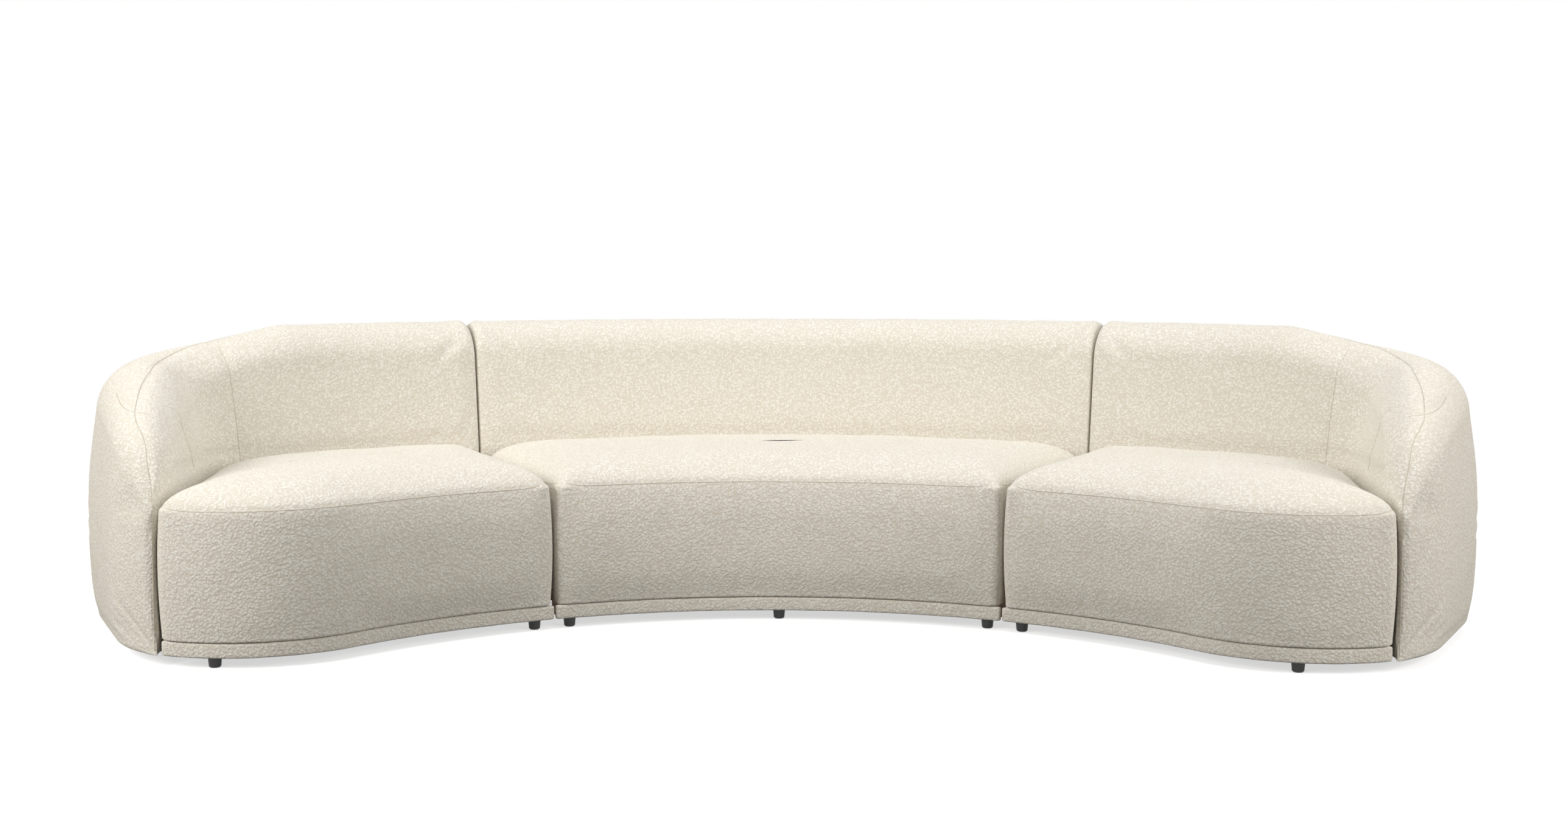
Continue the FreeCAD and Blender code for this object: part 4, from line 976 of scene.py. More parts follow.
def laid_on(piece: bpy.types.Object, path: np.ndarray, sink: float, step: float = 0.006) -> np.ndarray:
    """Draws a path onto the nearest places of a piece's surface.

    Args:
        piece: The piece that carries it.
        path: A polyline near the surface.
        sink: How deep below the surface it lies.
        step: The spacing of the result's points.

    Returns:
        The drawn polyline.
    """
    tree = BVHTree.FromPolygons([vertex.co for vertex in piece.data.vertices],
                                [polygon.vertices for polygon in piece.data.polygons])
    lengths = np.concatenate([[0], np.cumsum(np.linalg.norm(np.diff(path, axis=0), axis=1))])
    wanted = np.linspace(0, lengths[-1], max(2, int(lengths[-1] / step)))
    fine = np.column_stack([np.interp(wanted, lengths, path[:, part]) for part in range(3)])
    for passes in SMOOTHING_PASSES:
        found = []
        for point in fine:
            place, normal, _, _ = tree.find_nearest(Vector(point))
            found.append(place - normal * sink)
        fine = np.array(found)
        for _ in range(passes):
            fine[1:-1] = (fine[:-2] + fine[1:-1] * 2 + fine[2:]) / 4
    return fine


def rounded_path(points: list[tuple[float, float, float]]) -> np.ndarray:
    """A smooth line through a few points.

    Args:
        points: Its corners, ends included.

    Returns:
        The line, its corners cut three times.
    """
    path = np.array(points, float)
    for _ in range(3):
        first, last = path[0], path[-1]
        quarter = path[:-1] * 0.75 + path[1:] * 0.25
        threequarter = path[:-1] * 0.25 + path[1:] * 0.75
        path = np.vstack([first, np.stack([quarter, threequarter], axis=1).reshape(-1, 3), last])
    return path


def pressed_along(piece: bpy.types.Object, paths: list[np.ndarray], depth: float, width: float) -> None:
    """Presses a soft valley into a piece beside its seams.

    Args:
        piece: The mesh piece.
        paths: The seams.
        depth: The valley's depth.
        width: The distance over which it fades.
    """
    points, outward = coordinates(piece), normals(piece)
    nearest = np.full(len(points), 1.0)
    margin, batch = 0.05, 4000
    for path in paths:
        low, high = path.min(0) - margin, path.max(0) + margin
        close = np.where(np.all((points > low) & (points < high), axis=1))[0]
        for start in range(0, len(close), batch):
            part = close[start:start + batch]
            gap = np.linalg.norm(points[part][:, None] - path[None], axis=2).min(1)
            nearest[part] = np.minimum(nearest[part], gap)
    move_to(piece, points - outward * (depth * np.exp(-(nearest / width) ** 2))[:, None])


# Finishes
class Shading:
    """A small helper that adds and joins the nodes of one tree."""

    def __init__(self, tree: bpy.types.NodeTree) -> None:
        """Keeps the tree to work on.

        Args:
            tree: The shader node tree.
        """
        self.tree = tree

    def node(self, kind: str, **values: object) -> bpy.types.Node:
        """Adds a node; values with a capital first letter set inputs, the others its properties.

        Args:
            kind: The node's type.
            **values: Its inputs and properties.

        Returns:
            The node.
        """
        node = self.tree.nodes.new(kind)
        for key, value in values.items():
            if key[0].isupper():
                node.inputs[key.replace("_", " ")].default_value = value
            else:
                setattr(node, key, value)
        return node

    def link(self, source: bpy.types.NodeSocket, target: bpy.types.NodeSocket) -> None:
        """Joins two sockets."""
        self.tree.links.new(source, target)

    def math(self, operation: str, first: object, second: object = None) -> bpy.types.NodeSocket:
        """Adds a Math node on sockets or numbers and returns its result.

        Args:
            operation: What it does.
            first: Its first socket or number.
            second: Its second, if it has one.

        Returns:
            Its result.
        """
        node = self.tree.nodes.new("ShaderNodeMath")
        node.operation = operation
        for number, value in enumerate((first, second)):
            if isinstance(value, bpy.types.NodeSocket):
                self.link(value, node.inputs[number])
            elif value is not None:
                node.inputs[number].default_value = value
        return node.outputs[0]

    def mix(self, factor: object, first: object, second: object) -> bpy.types.NodeSocket:
        """Mixes two colours and returns the result.

        Args:
            factor: The share of the second colour.
            first: A socket or a colour.
            second: The other one.

        Returns:
            The mixed colour.
        """
        node = self.tree.nodes.new("ShaderNodeMix")
        node.data_type = "RGBA"
        for socket, value in ((node.inputs[0], factor), (node.inputs[6], first), (node.inputs[7], second)):
            if isinstance(value, bpy.types.NodeSocket):
                self.link(value, socket)
            else:
                socket.default_value = value
        return node.outputs[2]


def loops_group() -> bpy.types.ShaderNodeTree:
    """The looped pile: curled nubs, the pits between them and fine fibres.

    Returns:
        A group with the relief's height, a mask of pits that the fabric darkens as painted shade, and slow
        patches.
    """
    tree = bpy.data.node_groups.new("looped_pile", "ShaderNodeTree")
    face = tree.interface
    face.new_socket("Vector", in_out="INPUT", socket_type="NodeSocketVector")
    for label in ("Nub Rate", "Curl", "Fibre Rate"):
        face.new_socket(label, in_out="INPUT", socket_type="NodeSocketFloat")
    for label in ("Height", "Pits", "Patches"):
        face.new_socket(label, in_out="OUTPUT", socket_type="NodeSocketFloat")
    use = Shading(tree)
    given, result = use.node("NodeGroupInput"), use.node("NodeGroupOutput")
    bend = use.node("ShaderNodeTexNoise", Scale=95.0, Detail=1.0)
    use.link(given.outputs["Vector"], bend.inputs["Vector"])
    centred = use.node("ShaderNodeVectorMath", operation="SUBTRACT")
    centred.inputs[1].default_value = (0.5, 0.5, 0.5)
    use.link(bend.outputs["Color"], centred.inputs[0])
    scaled = use.node("ShaderNodeVectorMath", operation="SCALE")
    use.link(centred.outputs[0], scaled.inputs[0])
    use.link(given.outputs["Curl"], scaled.inputs["Scale"])
    warped = use.node("ShaderNodeVectorMath", operation="ADD")
    use.link(given.outputs["Vector"], warped.inputs[0])
    use.link(scaled.outputs[0], warped.inputs[1])
    nubs = use.node("ShaderNodeTexVoronoi", feature="SMOOTH_F1", Smoothness=0.35)
    use.link(warped.outputs[0], nubs.inputs["Vector"])
    use.link(given.outputs["Nub Rate"], nubs.inputs["Scale"])
    curls = use.node("ShaderNodeTexNoise", Detail=2.0, Roughness=0.6, Distortion=1.2)
    use.link(warped.outputs[0], curls.inputs["Vector"])
    use.link(use.math("MULTIPLY", given.outputs["Nub Rate"], 1.15), curls.inputs["Scale"])
    fibres = use.node("ShaderNodeTexNoise", Detail=1.0)
    use.link(given.outputs["Vector"], fibres.inputs["Vector"])
    use.link(given.outputs["Fibre Rate"], fibres.inputs["Scale"])
    mound = use.math("SUBTRACT", 1.0, use.math("MULTIPLY", nubs.outputs["Distance"], 1.35))
    curl = use.math("MULTIPLY", curls.outputs["Fac"], 1.1)
    height = use.math("ADD", use.math("MULTIPLY", mound, 0.55), use.math("MULTIPLY", curl, 0.6))
    height = use.math("ADD", height, use.math("MULTIPLY", fibres.outputs["Fac"], 0.12))
    use.link(height, result.inputs["Height"])
    # The pits: low places between the nubs, where the fabric paints shade into its colour.
    pits = use.node("ShaderNodeMapRange", interpolation_type="SMOOTHSTEP")
    pits.inputs["From Min"].default_value = 0.78
    pits.inputs["From Max"].default_value = 0.50
    use.link(height, pits.inputs["Value"])
    use.link(pits.outputs[0], result.inputs["Pits"])
    patches = use.node("ShaderNodeTexNoise", Scale=5.0, Detail=3.0)
    use.link(given.outputs["Vector"], patches.inputs["Vector"])
    use.link(patches.outputs["Fac"], result.inputs["Patches"])
    return tree


def grain_group() -> bpy.types.ShaderNodeTree:
    """Streaks along one axis with pores, for boards, drawn wire and rolled plate.

    Returns:
        A group with a streak and a pore value.
    """
    tree = bpy.data.node_groups.new("streaks", "ShaderNodeTree")
    face = tree.interface
    face.new_socket("Vector", in_out="INPUT", socket_type="NodeSocketVector")
    for label in ("Rate", "Pore Rate"):
        face.new_socket(label, in_out="INPUT", socket_type="NodeSocketFloat")
    for label in ("Streak", "Pore"):
        face.new_socket(label, in_out="OUTPUT", socket_type="NodeSocketFloat")
    use = Shading(tree)
    given, result = use.node("NodeGroupInput"), use.node("NodeGroupOutput")
    streak = use.node("ShaderNodeTexNoise", Detail=4.0, Distortion=0.7)
    use.link(given.outputs["Vector"], streak.inputs["Vector"])
    use.link(given.outputs["Rate"], streak.inputs["Scale"])
    pore = use.node("ShaderNodeTexNoise", Detail=1.0)
    use.link(given.outputs["Vector"], pore.inputs["Vector"])
    use.link(given.outputs["Pore Rate"], pore.inputs["Scale"])
    use.link(streak.outputs["Fac"], result.inputs["Streak"])
    use.link(pore.outputs["Fac"], result.inputs["Pore"])
    return tree


@dataclass(frozen=True)
class Finish:
    """The numbers of one finish.

    Attributes:
        name: The material's name.
        colour: Its main colour.
        second: For the wool, the painted shade colour of its pits; for the others, the colour of their pores
            or dark streaks.
        roughness: The shader's roughness.
        metallic: 1 for bare metal.
        bump: The depth of its relief in metres.
        stretch: How a pattern is stretched along X, Y and Z.
    """

    name: str
    colour: tuple[float, float, float]
    second: tuple[float, float, float]
    roughness: float
    metallic: float = 0.0
    bump: float = 0.0004
    stretch: tuple[float, float, float] = (1.0, 1.0, 1.0)

    def start(self) -> tuple[bpy.types.Material, Shading, bpy.types.Node, bpy.types.NodeSocket]:
        """Makes the material with its shader and its stretched Object coordinates.

        Returns:
            The material, its nodes' helper, its shader and the coordinates.
        """
        material = bpy.data.materials.new(self.name)
        material.use_nodes = True
        use = Shading(material.node_tree)
        shader = material.node_tree.nodes["Principled BSDF"]
        shader.inputs["Metallic"].default_value = self.metallic
        where = use.node("ShaderNodeTexCoord")
        mapping = use.node("ShaderNodeMapping", Scale=self.stretch)
        use.link(where.outputs["Object"], mapping.inputs["Vector"])
        return material, use, shader, mapping.outputs[0]


@dataclass(frozen=True)
class LoopedWool(Finish):
    """Ivory looped fabric: bright nubs, pits darkened and warmed as painted shade, a soft sheen."""

    nub_rate: float = 155.0
    curl: float = 0.006
    fibre_rate: float = 900.0
    # How strongly the pits between the nubs are darkened, as painted shade.
    pit_shade: float = 0.55

    def make(self, loops: bpy.types.ShaderNodeTree) -> bpy.types.Material:
        """Builds the material.

        Args:
            loops: The looped pile's node group.

        Returns:
            The fabric.
        """
        material, use, shader, vector = self.start()
        pile = use.node("ShaderNodeGroup")
        pile.node_tree = loops
        pile.inputs["Nub Rate"].default_value = self.nub_rate
        pile.inputs["Curl"].default_value = self.curl
        pile.inputs["Fibre Rate"].default_value = self.fibre_rate
        use.link(vector, pile.inputs["Vector"])
        light = tuple(min(1.0, part * 1.01) for part in self.colour)
        warm = (self.colour[0] * 0.98, self.colour[1] * 0.97, self.colour[2] * 0.94)
        base = use.mix(pile.outputs["Patches"], (*light, 1), (*warm, 1))
        # Painted shade: the pits between the nubs are darkened towards the warmer second colour.
        use.link(use.mix(use.math("MULTIPLY", pile.outputs["Pits"], self.pit_shade), base, (*self.second, 1)),
                 shader.inputs["Base Color"])
        use.link(use.math("ADD", use.math("MULTIPLY", pile.outputs["Pits"], 0.08), self.roughness),
                 shader.inputs["Roughness"])
        relief = use.node("ShaderNodeBump", Strength=0.85, Distance=self.bump)
        use.link(pile.outputs["Height"], relief.inputs["Height"])
        use.link(relief.outputs[0], shader.inputs["Normal"])
        shader.inputs["Specular IOR Level"].default_value = 0.12
        shader.inputs["Sheen Weight"].default_value = 0.25
        shader.inputs["Sheen Roughness"].default_value = 0.6
        shader.inputs["Sheen Tint"].default_value = (1.0, 0.97, 0.9, 1)
        return material


@dataclass(frozen=True)
class Streaked(Finish):
    """Wood, metal or moulded plastic: streaks, pores and a fine relief."""

    rate: float = 30.0
    pore_rate: float = 400.0
    share: float = 0.6

    def make(self, grain: bpy.types.ShaderNodeTree) -> bpy.types.Material:
        """Builds the material from the streaks' node group.

        Args:
            grain: The streaks' node group.

        Returns:
            The material.
        """
        material, use, shader, vector = self.start()
        streaks = use.node("ShaderNodeGroup")
        streaks.node_tree = grain
        streaks.inputs["Rate"].default_value = self.rate
        streaks.inputs["Pore Rate"].default_value = self.pore_rate
        use.link(vector, streaks.inputs["Vector"])
        spread = use.node("ShaderNodeMapRange", interpolation_type="SMOOTHSTEP")
        spread.inputs["From Min"].default_value = 0.35
        spread.inputs["From Max"].default_value = 0.65
        spread.inputs["To Max"].default_value = self.share
        use.link(streaks.outputs["Streak"], spread.inputs["Value"])
        tone = use.mix(spread.outputs[0], (*self.colour, 1), (*self.second, 1))
        use.link(tone, shader.inputs["Base Color"])
        use.link(use.math("ADD", use.math("MULTIPLY", streaks.outputs["Pore"], 0.16), self.roughness - 0.08),
                 shader.inputs["Roughness"])
        relief = use.node("ShaderNodeBump", Strength=0.5, Distance=self.bump)
        use.link(streaks.outputs["Pore"], relief.inputs["Height"])
        use.link(relief.outputs[0], shader.inputs["Normal"])
        return material


@dataclass(frozen=True)
class Woven(Finish):
    """A plain weave of warp and weft, for webbing and lining cloth."""

    rate: float = 900.0

    def make(self) -> bpy.types.Material:
        """Builds the material.

        Returns:
            The weave.
        """
        material, use, shader, vector = self.start()
        parts = use.node("ShaderNodeSeparateXYZ")
        use.link(vector, parts.inputs[0])
        flat = use.math("ADD", parts.outputs[0], parts.outputs[1])
        warp = use.math("SINE", use.math("MULTIPLY", flat, self.rate))
        rise = use.math("ADD", parts.outputs[2], parts.outputs[1])
        weft = use.math("SINE", use.math("MULTIPLY", rise, self.rate))
        weave = use.math("ADD", use.math("MULTIPLY", use.math("MULTIPLY", warp, weft), 0.5), 0.5)
        use.link(use.mix(weave, (*self.colour, 1), (*self.second, 1)), shader.inputs["Base Color"])
        dull = use.math("ADD", use.math("MULTIPLY", weave, 0.1), self.roughness)
        use.link(dull, shader.inputs["Roughness"])
        relief = use.node("ShaderNodeBump", Strength=0.6, Distance=self.bump)
        use.link(weave, relief.inputs["Height"])
        use.link(relief.outputs[0], shader.inputs["Normal"])
        return material


class Finishes:
    """Every finish of the sofa, made once."""

    def __init__(self) -> None:
        """Builds the node groups and the materials."""
        loops, grain = loops_group(), grain_group()
        # The wool's second colour is the painted shade of the pits between its nubs.
        self.wool = LoopedWool("ivory_loops", (0.870, 0.848, 0.792), (0.62, 0.55, 0.44), 0.88,
                               bump=0.0026).make(loops)
        # The seam thread is a real sewn line; its colour, darker and warmer than the wool's, is painted shade
        # along the seam, and its pits are painted shade too.
        self.thread = LoopedWool("seam_thread", (0.70, 0.66, 0.57), (0.48, 0.42, 0.33), 0.90, bump=0.0008,
                                 nub_rate=420.0, curl=0.002).make(loops)
        self.wood = Streaked("frame_beech", (0.60, 0.42, 0.25), (0.42, 0.27, 0.14), 0.62, bump=0.0003,
                             stretch=(1, 1, 6), rate=18.0, pore_rate=320.0).make(grain)
        self.zinc = Streaked("zinc_plate", (0.62, 0.63, 0.62), (0.44, 0.45, 0.45), 0.36, 1.0, 0.0001,
                             rate=60.0, pore_rate=700.0, share=0.5).make(grain)
        self.spring = Streaked("spring_wire", (0.20, 0.20, 0.22), (0.10, 0.09, 0.09), 0.42, 1.0, 0.0001,
                               rate=90.0, pore_rate=900.0, share=0.7).make(grain)
        self.foot = Streaked("moulded_foot", (0.012, 0.012, 0.013), (0.022, 0.021, 0.020), 0.45, bump=0.00015,
                             rate=140.0, pore_rate=1500.0, share=0.5).make(grain)
        self.web = Woven("seat_webbing", (0.030, 0.026, 0.024), (0.075, 0.065, 0.055), 0.8,
                         bump=0.0004).make()
        self.lining = Woven("lining_cloth", (0.012, 0.012, 0.012), (0.035, 0.035, 0.036), 0.85, bump=0.0002,
                            rate=2400.0).make()


# Sub-assemblies
# In metres: the fabrics' unevenness, how deep a seam lies before and after it is pressed in, and about how
# far apart the points along a band lie.
SEAT_WAVE, BACK_WAVE, BAND_WAVE = 0.0011, 0.0012, 0.0005
FIRST_SINK, LAST_SINK = 0.0003, 0.0002
BAND_STEP = 0.014


def finish_piece(piece: bpy.types.Object, body: str, material: bpy.types.Material) -> None:
    """Gives a piece its material and body and reports it.

    Args:
        piece: The finished mesh piece.
        body: The body it rides on.
        material: What it is made of.
    """
    piece.data.materials.clear()
    piece.data.materials.append(material)
    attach(piece, body)
    LOG.info("%s rides on %s with %d faces", piece.name, body, len(piece.data.polygons))


def distance_to_plane(points: np.ndarray, degrees: float) -> np.ndarray:
    """How far points lie from the upright plane through the arc centre at a plan angle.

    Args:
        points: Points in the sofa's frame.
        degrees: The plane's plan angle.

    Returns:
        One distance for each.
    """
    turn = math.radians(degrees)
    return np.abs(points[:, 0] * math.cos(turn) - (points[:, 1] - PLAN.arc_centre_y) * math.sin(turn))


@dataclass
class SeatSkin:
    """A seat's fabric with its edge seam.

    Attributes:
        end_module: True for the right end seat.
        swell_top: How far the crown may swell.
        swell_side: How far the front may swell.
    """

    end_module: bool
    swell_top: float = 0.0065
    swell_side: float = 0.0075

    def build(self, name: str) -> tuple[bpy.types.Object, list[np.ndarray]]:
        """Makes the fabric and its seam paths.

        Args:
            name: The piece's name.

        Returns:
            The fabric and its seams.
        """
        outline = SeatOutline(self.end_module)
        skin = seat_shell(name, outline)
        Swelling().run(skin, self._limits(skin, outline))
        subdivided(skin)
        loop = outline.ring(HEIGHTS.side_draw, HEIGHTS.seam)
        loop = np.vstack([loop, loop[:1]])
        pressed_along(skin, [laid_on(skin, loop, FIRST_SINK)], 0.0022, 0.010)
        self._unevenness(skin, outline)
        return skin, [laid_on(skin, loop, LAST_SINK)]

    def _room(self, points: np.ndarray, outline: SeatOutline) -> tuple[np.ndarray, np.ndarray]:
        """How far points are from the free front, and from neighbours that stop them swelling.

        Args:
            points: Points in the sofa's frame.
            outline: The seat's plan.

        Returns:
            Two arrays: from the front, and from the nearest neighbour.
        """
        plan = points[:, :2].copy()
        plan[:, 1] -= PLAN.arc_centre_y
        clear = outline.clearances(plan)
        return clear[0], np.minimum.reduce(clear[1:])

    def _limits(self, skin: bpy.types.Object, outline: SeatOutline) -> np.ndarray:
        """How far each point may swell.

        Args:
            skin: The fabric.
            outline: The seat's plan.

        Returns:
            One distance for each vertex.
        """
        points = coordinates(skin)
        _, stopped = self._room(points, outline)
        side = self.swell_side * smoothstep(0.012, 0.055, stopped)
        top = self.swell_top * smoothstep(0.004, 0.10, stopped)
        limit = np.where(points[:, 2] > HEIGHTS.seam, top, side)
        near_seam = smoothstep(0.0, 0.035, np.abs(points[:, 2] - HEIGHTS.seam))
        limit *= 0.18 + 0.82 * near_seam
        limit *= smoothstep(HEIGHTS.band_top + 0.002, HEIGHTS.band_top + 0.03, points[:, 2])
        return limit + 0.0002 * (points[:, 2] > HEIGHTS.band_top + 0.01)

    def _unevenness(self, skin: bpy.types.Object, outline: SeatOutline) -> None:
        """Adds the slight waviness of stretched fabric.

        Args:
            skin: The fabric.
            outline: The seat's plan.
        """
        points = coordinates(skin)
        _, stopped = self._room(points, outline)
        above_band = smoothstep(HEIGHTS.band_top, HEIGHTS.band_top + 0.03, points[:, 2])
        free = smoothstep(0.01, 0.06, stopped) * above_band
        wave = ripples(points, SOFT_WAVES) * SEAT_WAVE * free
        move_to(skin, points + normals(skin) * wave[:, None])


@dataclass
class WallSkin:
    """A back's fabric, and an arm's with it on an end module.

    Attributes:
        end_module: True for the right end.
        swell: How far the fabric may swell.
    """

    end_module: bool
    swell: float = 0.0045

    def build(self, name: str) -> tuple[bpy.types.Object, list[np.ndarray]]:
        """Makes the fabric and its seam paths.

        Args:
            name: The piece's name.

        Returns:
            The fabric and its seams.
        """
        skin = Wall(self.end_module).shell(name)
        Swelling().run(skin, self._limits(skin))
        subdivided(skin)
        seams = [laid_on(skin, path, FIRST_SINK) for path in self._seams()]
        pressed_along(skin, seams, 0.0024, 0.011)
        self._unevenness(skin)
        return skin, [laid_on(skin, path, LAST_SINK) for path in self._seams()]

    def _joint_room(self, points: np.ndarray) -> np.ndarray:
        """How far points are from the module's joints.

        Args:
            points: Points in the sofa's frame.

        Returns:
            The distance to the nearest joint for each.
        """
        if self.end_module:
            return distance_to_plane(points, PLAN.near_end)
        return np.minimum(distance_to_plane(points, PLAN.near_centre),
                          distance_to_plane(points, -PLAN.near_centre))

    def _limits(self, skin: bpy.types.Object) -> np.ndarray:
        """How far each point may swell: not at the joints, behind the seat or at the foot.

        Args:
            skin: The fabric.

        Returns:
            One distance for each vertex.
        """
        points = coordinates(skin)
        limit = self.swell * smoothstep(0.002, 0.05, self._joint_room(points))
        limit *= smoothstep(HEIGHTS.base + 0.004, HEIGHTS.base + 0.05, points[:, 2])
        facing_seat = self._faces_seat(points, normals(skin))
        above = smoothstep(0.40, 0.47, points[:, 2])
        limit *= np.where(facing_seat, np.maximum(above, 0.02), 1.0)
        return limit + 1e-5

    def _faces_seat(self, points: np.ndarray, outward: np.ndarray) -> np.ndarray:
        """Which points lie on the inner face, against the seat.

        Args:
            points: The vertices.
            outward: Their normals.

        Returns:
            True for each point on the inner face.
        """
        middle = np.array([0.75 if self.end_module else 0.0, PLAN.arc_centre_y + 1.35])
        inward = middle - points[:, :2]
        facing = (outward[:, :2] * inward).sum(1) > 0
        if self.end_module:
            front = points[:, 1] < PLAN.arc_centre_y + PLAN.arm_front[1] + 0.012
            facing &= ~front
        return facing

    def _unevenness(self, skin: bpy.types.Object) -> None:
        """Adds the slight waviness of stretched fabric.

        Args:
            skin: The fabric.
        """
        points = coordinates(skin)
        free = smoothstep(0.004, 0.05, self._joint_room(points))
        free *= smoothstep(HEIGHTS.base, HEIGHTS.base + 0.04, points[:, 2])
        free *= np.where(self._faces_seat(points, normals(skin)), smoothstep(0.41, 0.47, points[:, 2]), 1.0)
        wave = ripples(points, SOFT_WAVES) * BACK_WAVE * free
        move_to(skin, points + normals(skin) * wave[:, None])

    def _seams(self) -> list[np.ndarray]:
        """Lays out the sewn lines.

        Returns:
            Paths close to the surface.
        """
        if not self.end_module:
            crest = [(*polar(CREST_LINE, angle), 0.757) for angle in np.linspace(-25.6, 25.6, 13)]
            return [rounded_path([tuple(to_row(np.array(point))) for point in crest])]
        front = [(1.4235, -0.733, 0.040), (1.4235, -0.733, 0.20), (1.4225, -0.733, 0.36),
                 (1.4260, -0.730, 0.47),
                 (1.4400, -0.717, 0.530), (1.4650, -0.688, 0.583), (1.4990, -0.640, 0.630),
                 (1.5240, -0.590, 0.659), (1.5350, -0.530, 0.682), (1.5450, -0.440, 0.703),
                 (1.5560, -0.330, 0.722), (1.5630, -0.200, 0.738), (1.5560, -0.090, 0.752),
                 (1.5150, 0.020, 0.760), (1.4300, 0.105, 0.760), (1.3300, 0.178, 0.760)]
        rear = [tuple(to_row(np.array((*polar(CREST_LINE, angle), 0.758))))
                for angle in np.linspace(38.0, 27.2, 6)]
        across = [(1.4690, -0.560, 0.658), (1.4850, -0.588, 0.660), (1.5190, -0.594, 0.658),
                  (1.5630, -0.563, 0.652), (1.6100, -0.507, 0.645), (1.6500, -0.437, 0.640)]
        inner = [(1.4160, -0.096, 0.400), (1.4230, -0.098, 0.460), (1.4320, -0.090, 0.540),
                 (1.4400, -0.088, 0.600), (1.4560, -0.078, 0.655), (1.4800, -0.058, 0.700)]
        arm_inner = [(1.4460, -0.350, 0.420), (1.4500, -0.377, 0.453), (1.4550, -0.412, 0.540),
                     (1.4600, -0.440, 0.590)]
        return [rounded_path(points) for points in (front + rear, across, inner, arm_inner)]


def swept_band(name: str, path: list[tuple[float, float]],
               across: list[tuple[float, float]]) -> bpy.types.Object:
    """A rounded strip of padded board under the seat's front.

    Args:
        name: The piece's name.
        path: Plan points along its front face, about the arc centre.
        across: The unit way into the seat at each point.

    Returns:
        The strip as a closed mesh.
    """
    depth, low, high, edge = PLAN.band_depth, HEIGHTS.base, HEIGHTS.band_top, 0.0045
    profile = []
    for corner_x, corner_z, first in ((edge, low + edge, 180), (depth - edge, low + edge, 270),
                                      (depth - edge, high - edge, 0), (edge, high - edge, 90)):
        for turn in (0, 30, 60, 90):
            angle = math.radians(first + turn)
            profile.append((corner_x + edge * math.cos(angle), corner_z + edge * math.sin(angle)))
    bulged = []
    for (x, z), (next_x, next_z) in zip(profile, profile[1:] + profile[:1]):
        bulged.append((x, z))
        if abs(next_z - z) > 0.015 or abs(next_x - x) > 0.008:
            bulged.append(((x + next_x) / 2, (z + next_z) / 2))
    rows = []
    count = len(path)
    for number, ((x, y), (ax, ay)) in enumerate(zip(path, across)):
        end = min(number, count - 1 - number)
        shrink = (0.55, 0.86, 1.0)[min(end, 2)]
        rows.append(to_row(np.array([(x + ax * (depth / 2 + (px - depth / 2) * shrink),
                                      y + ay * (depth / 2 + (px - depth / 2) * shrink),
                                      (low + high) / 2 + (pz - (low + high) / 2) * (0.88 + 0.12 * shrink))
                                     for px, pz in bulged])))
    columns = len(bulged)
    faces = grid_faces(count, columns, True)
    faces.append(tuple(range(columns))[::-1])
    faces.append(tuple((count - 1) * columns + number for number in range(columns)))
    band = new_piece(name, np.vstack(rows), faces)
    subdivided(band)
    points = coordinates(band)
    wave = ripples(points * 1.6, SOFT_WAVES) * BAND_WAVE
    move_to(band, points + normals(band) * wave[:, None])
    return band


def arc_run(first: float, last: float, radius: float, step: float = BAND_STEP) -> tuple[list, list]:
    """Plan points and inward ways along the front's arc, with closer steps at both ends.

    Args:
        first: The plan angle it starts at.
        last: Where it ends.
        radius: Its radius.
        step: About how far apart its points lie.

    Returns:
        The points, and the unit way into the seat at each.
    """
    count = max(4, int(math.radians(last - first) * radius / step))
    angles = np.linspace(first, last, count + 1)
    fine = math.degrees(0.0035 / radius)
    angles = np.concatenate([[angles[0], angles[0] + fine / 2], angles[1:-1],
                             [angles[-1] - fine / 2, angles[-1]]])
    return [polar(radius, angle) for angle in angles], [polar(1, angle) for angle in angles]


@dataclass
class Lining:
    """The thin cloth stapled under a seat's frame, and its staples.

    Attributes:
        end_module: True for the right end's cloth.
        sag: How far its middle hangs.
        inset: How far its edge lies inside the seat's.
        thickness: The cloth's thickness.
    """

    end_module: bool
    sag: float = 0.0035
    inset: float = 0.098
    thickness: float = 0.0006

    def build(self, name: str) -> tuple[bpy.types.Object, np.ndarray, float, tuple[float, float]]:
        """Makes the cloth.

        Args:
            name: The piece's name.

        Returns:
            The cloth, its staple line, its flat area and its flat box.
        """
        outline = SeatOutline(self.end_module)
        level = HEIGHTS.band_top - 0.0008
        rings = 12
        edge = outline.ring(self.inset, level)
        rows = [edge] + outline.gathered(edge, [step / rings for step in range(1, rings + 1)], -self.sag)
        cloth = new_piece(name, np.vstack(rows), grid_faces(len(rows), len(edge), True))
        area = sum(polygon.area for polygon in cloth.data.polygons)
        size = edge.max(0) - edge.min(0)
        points = coordinates(cloth)
        points[:, 2] += ripples(points * 2, SOFT_WAVES) * 0.0006 * (level - points[:, 2]) / self.sag
        move_to(cloth, points)
        thick = cloth.modifiers.new("cloth", "SOLIDIFY")
        thick.thickness = self.thickness
        thick.offset = 0
        baked(cloth)
        line = outline.ring(self.inset + 0.010, level - self.thickness)
        return cloth, np.vstack([line, line[:1]]), area, (float(size[0]), float(size[1]))


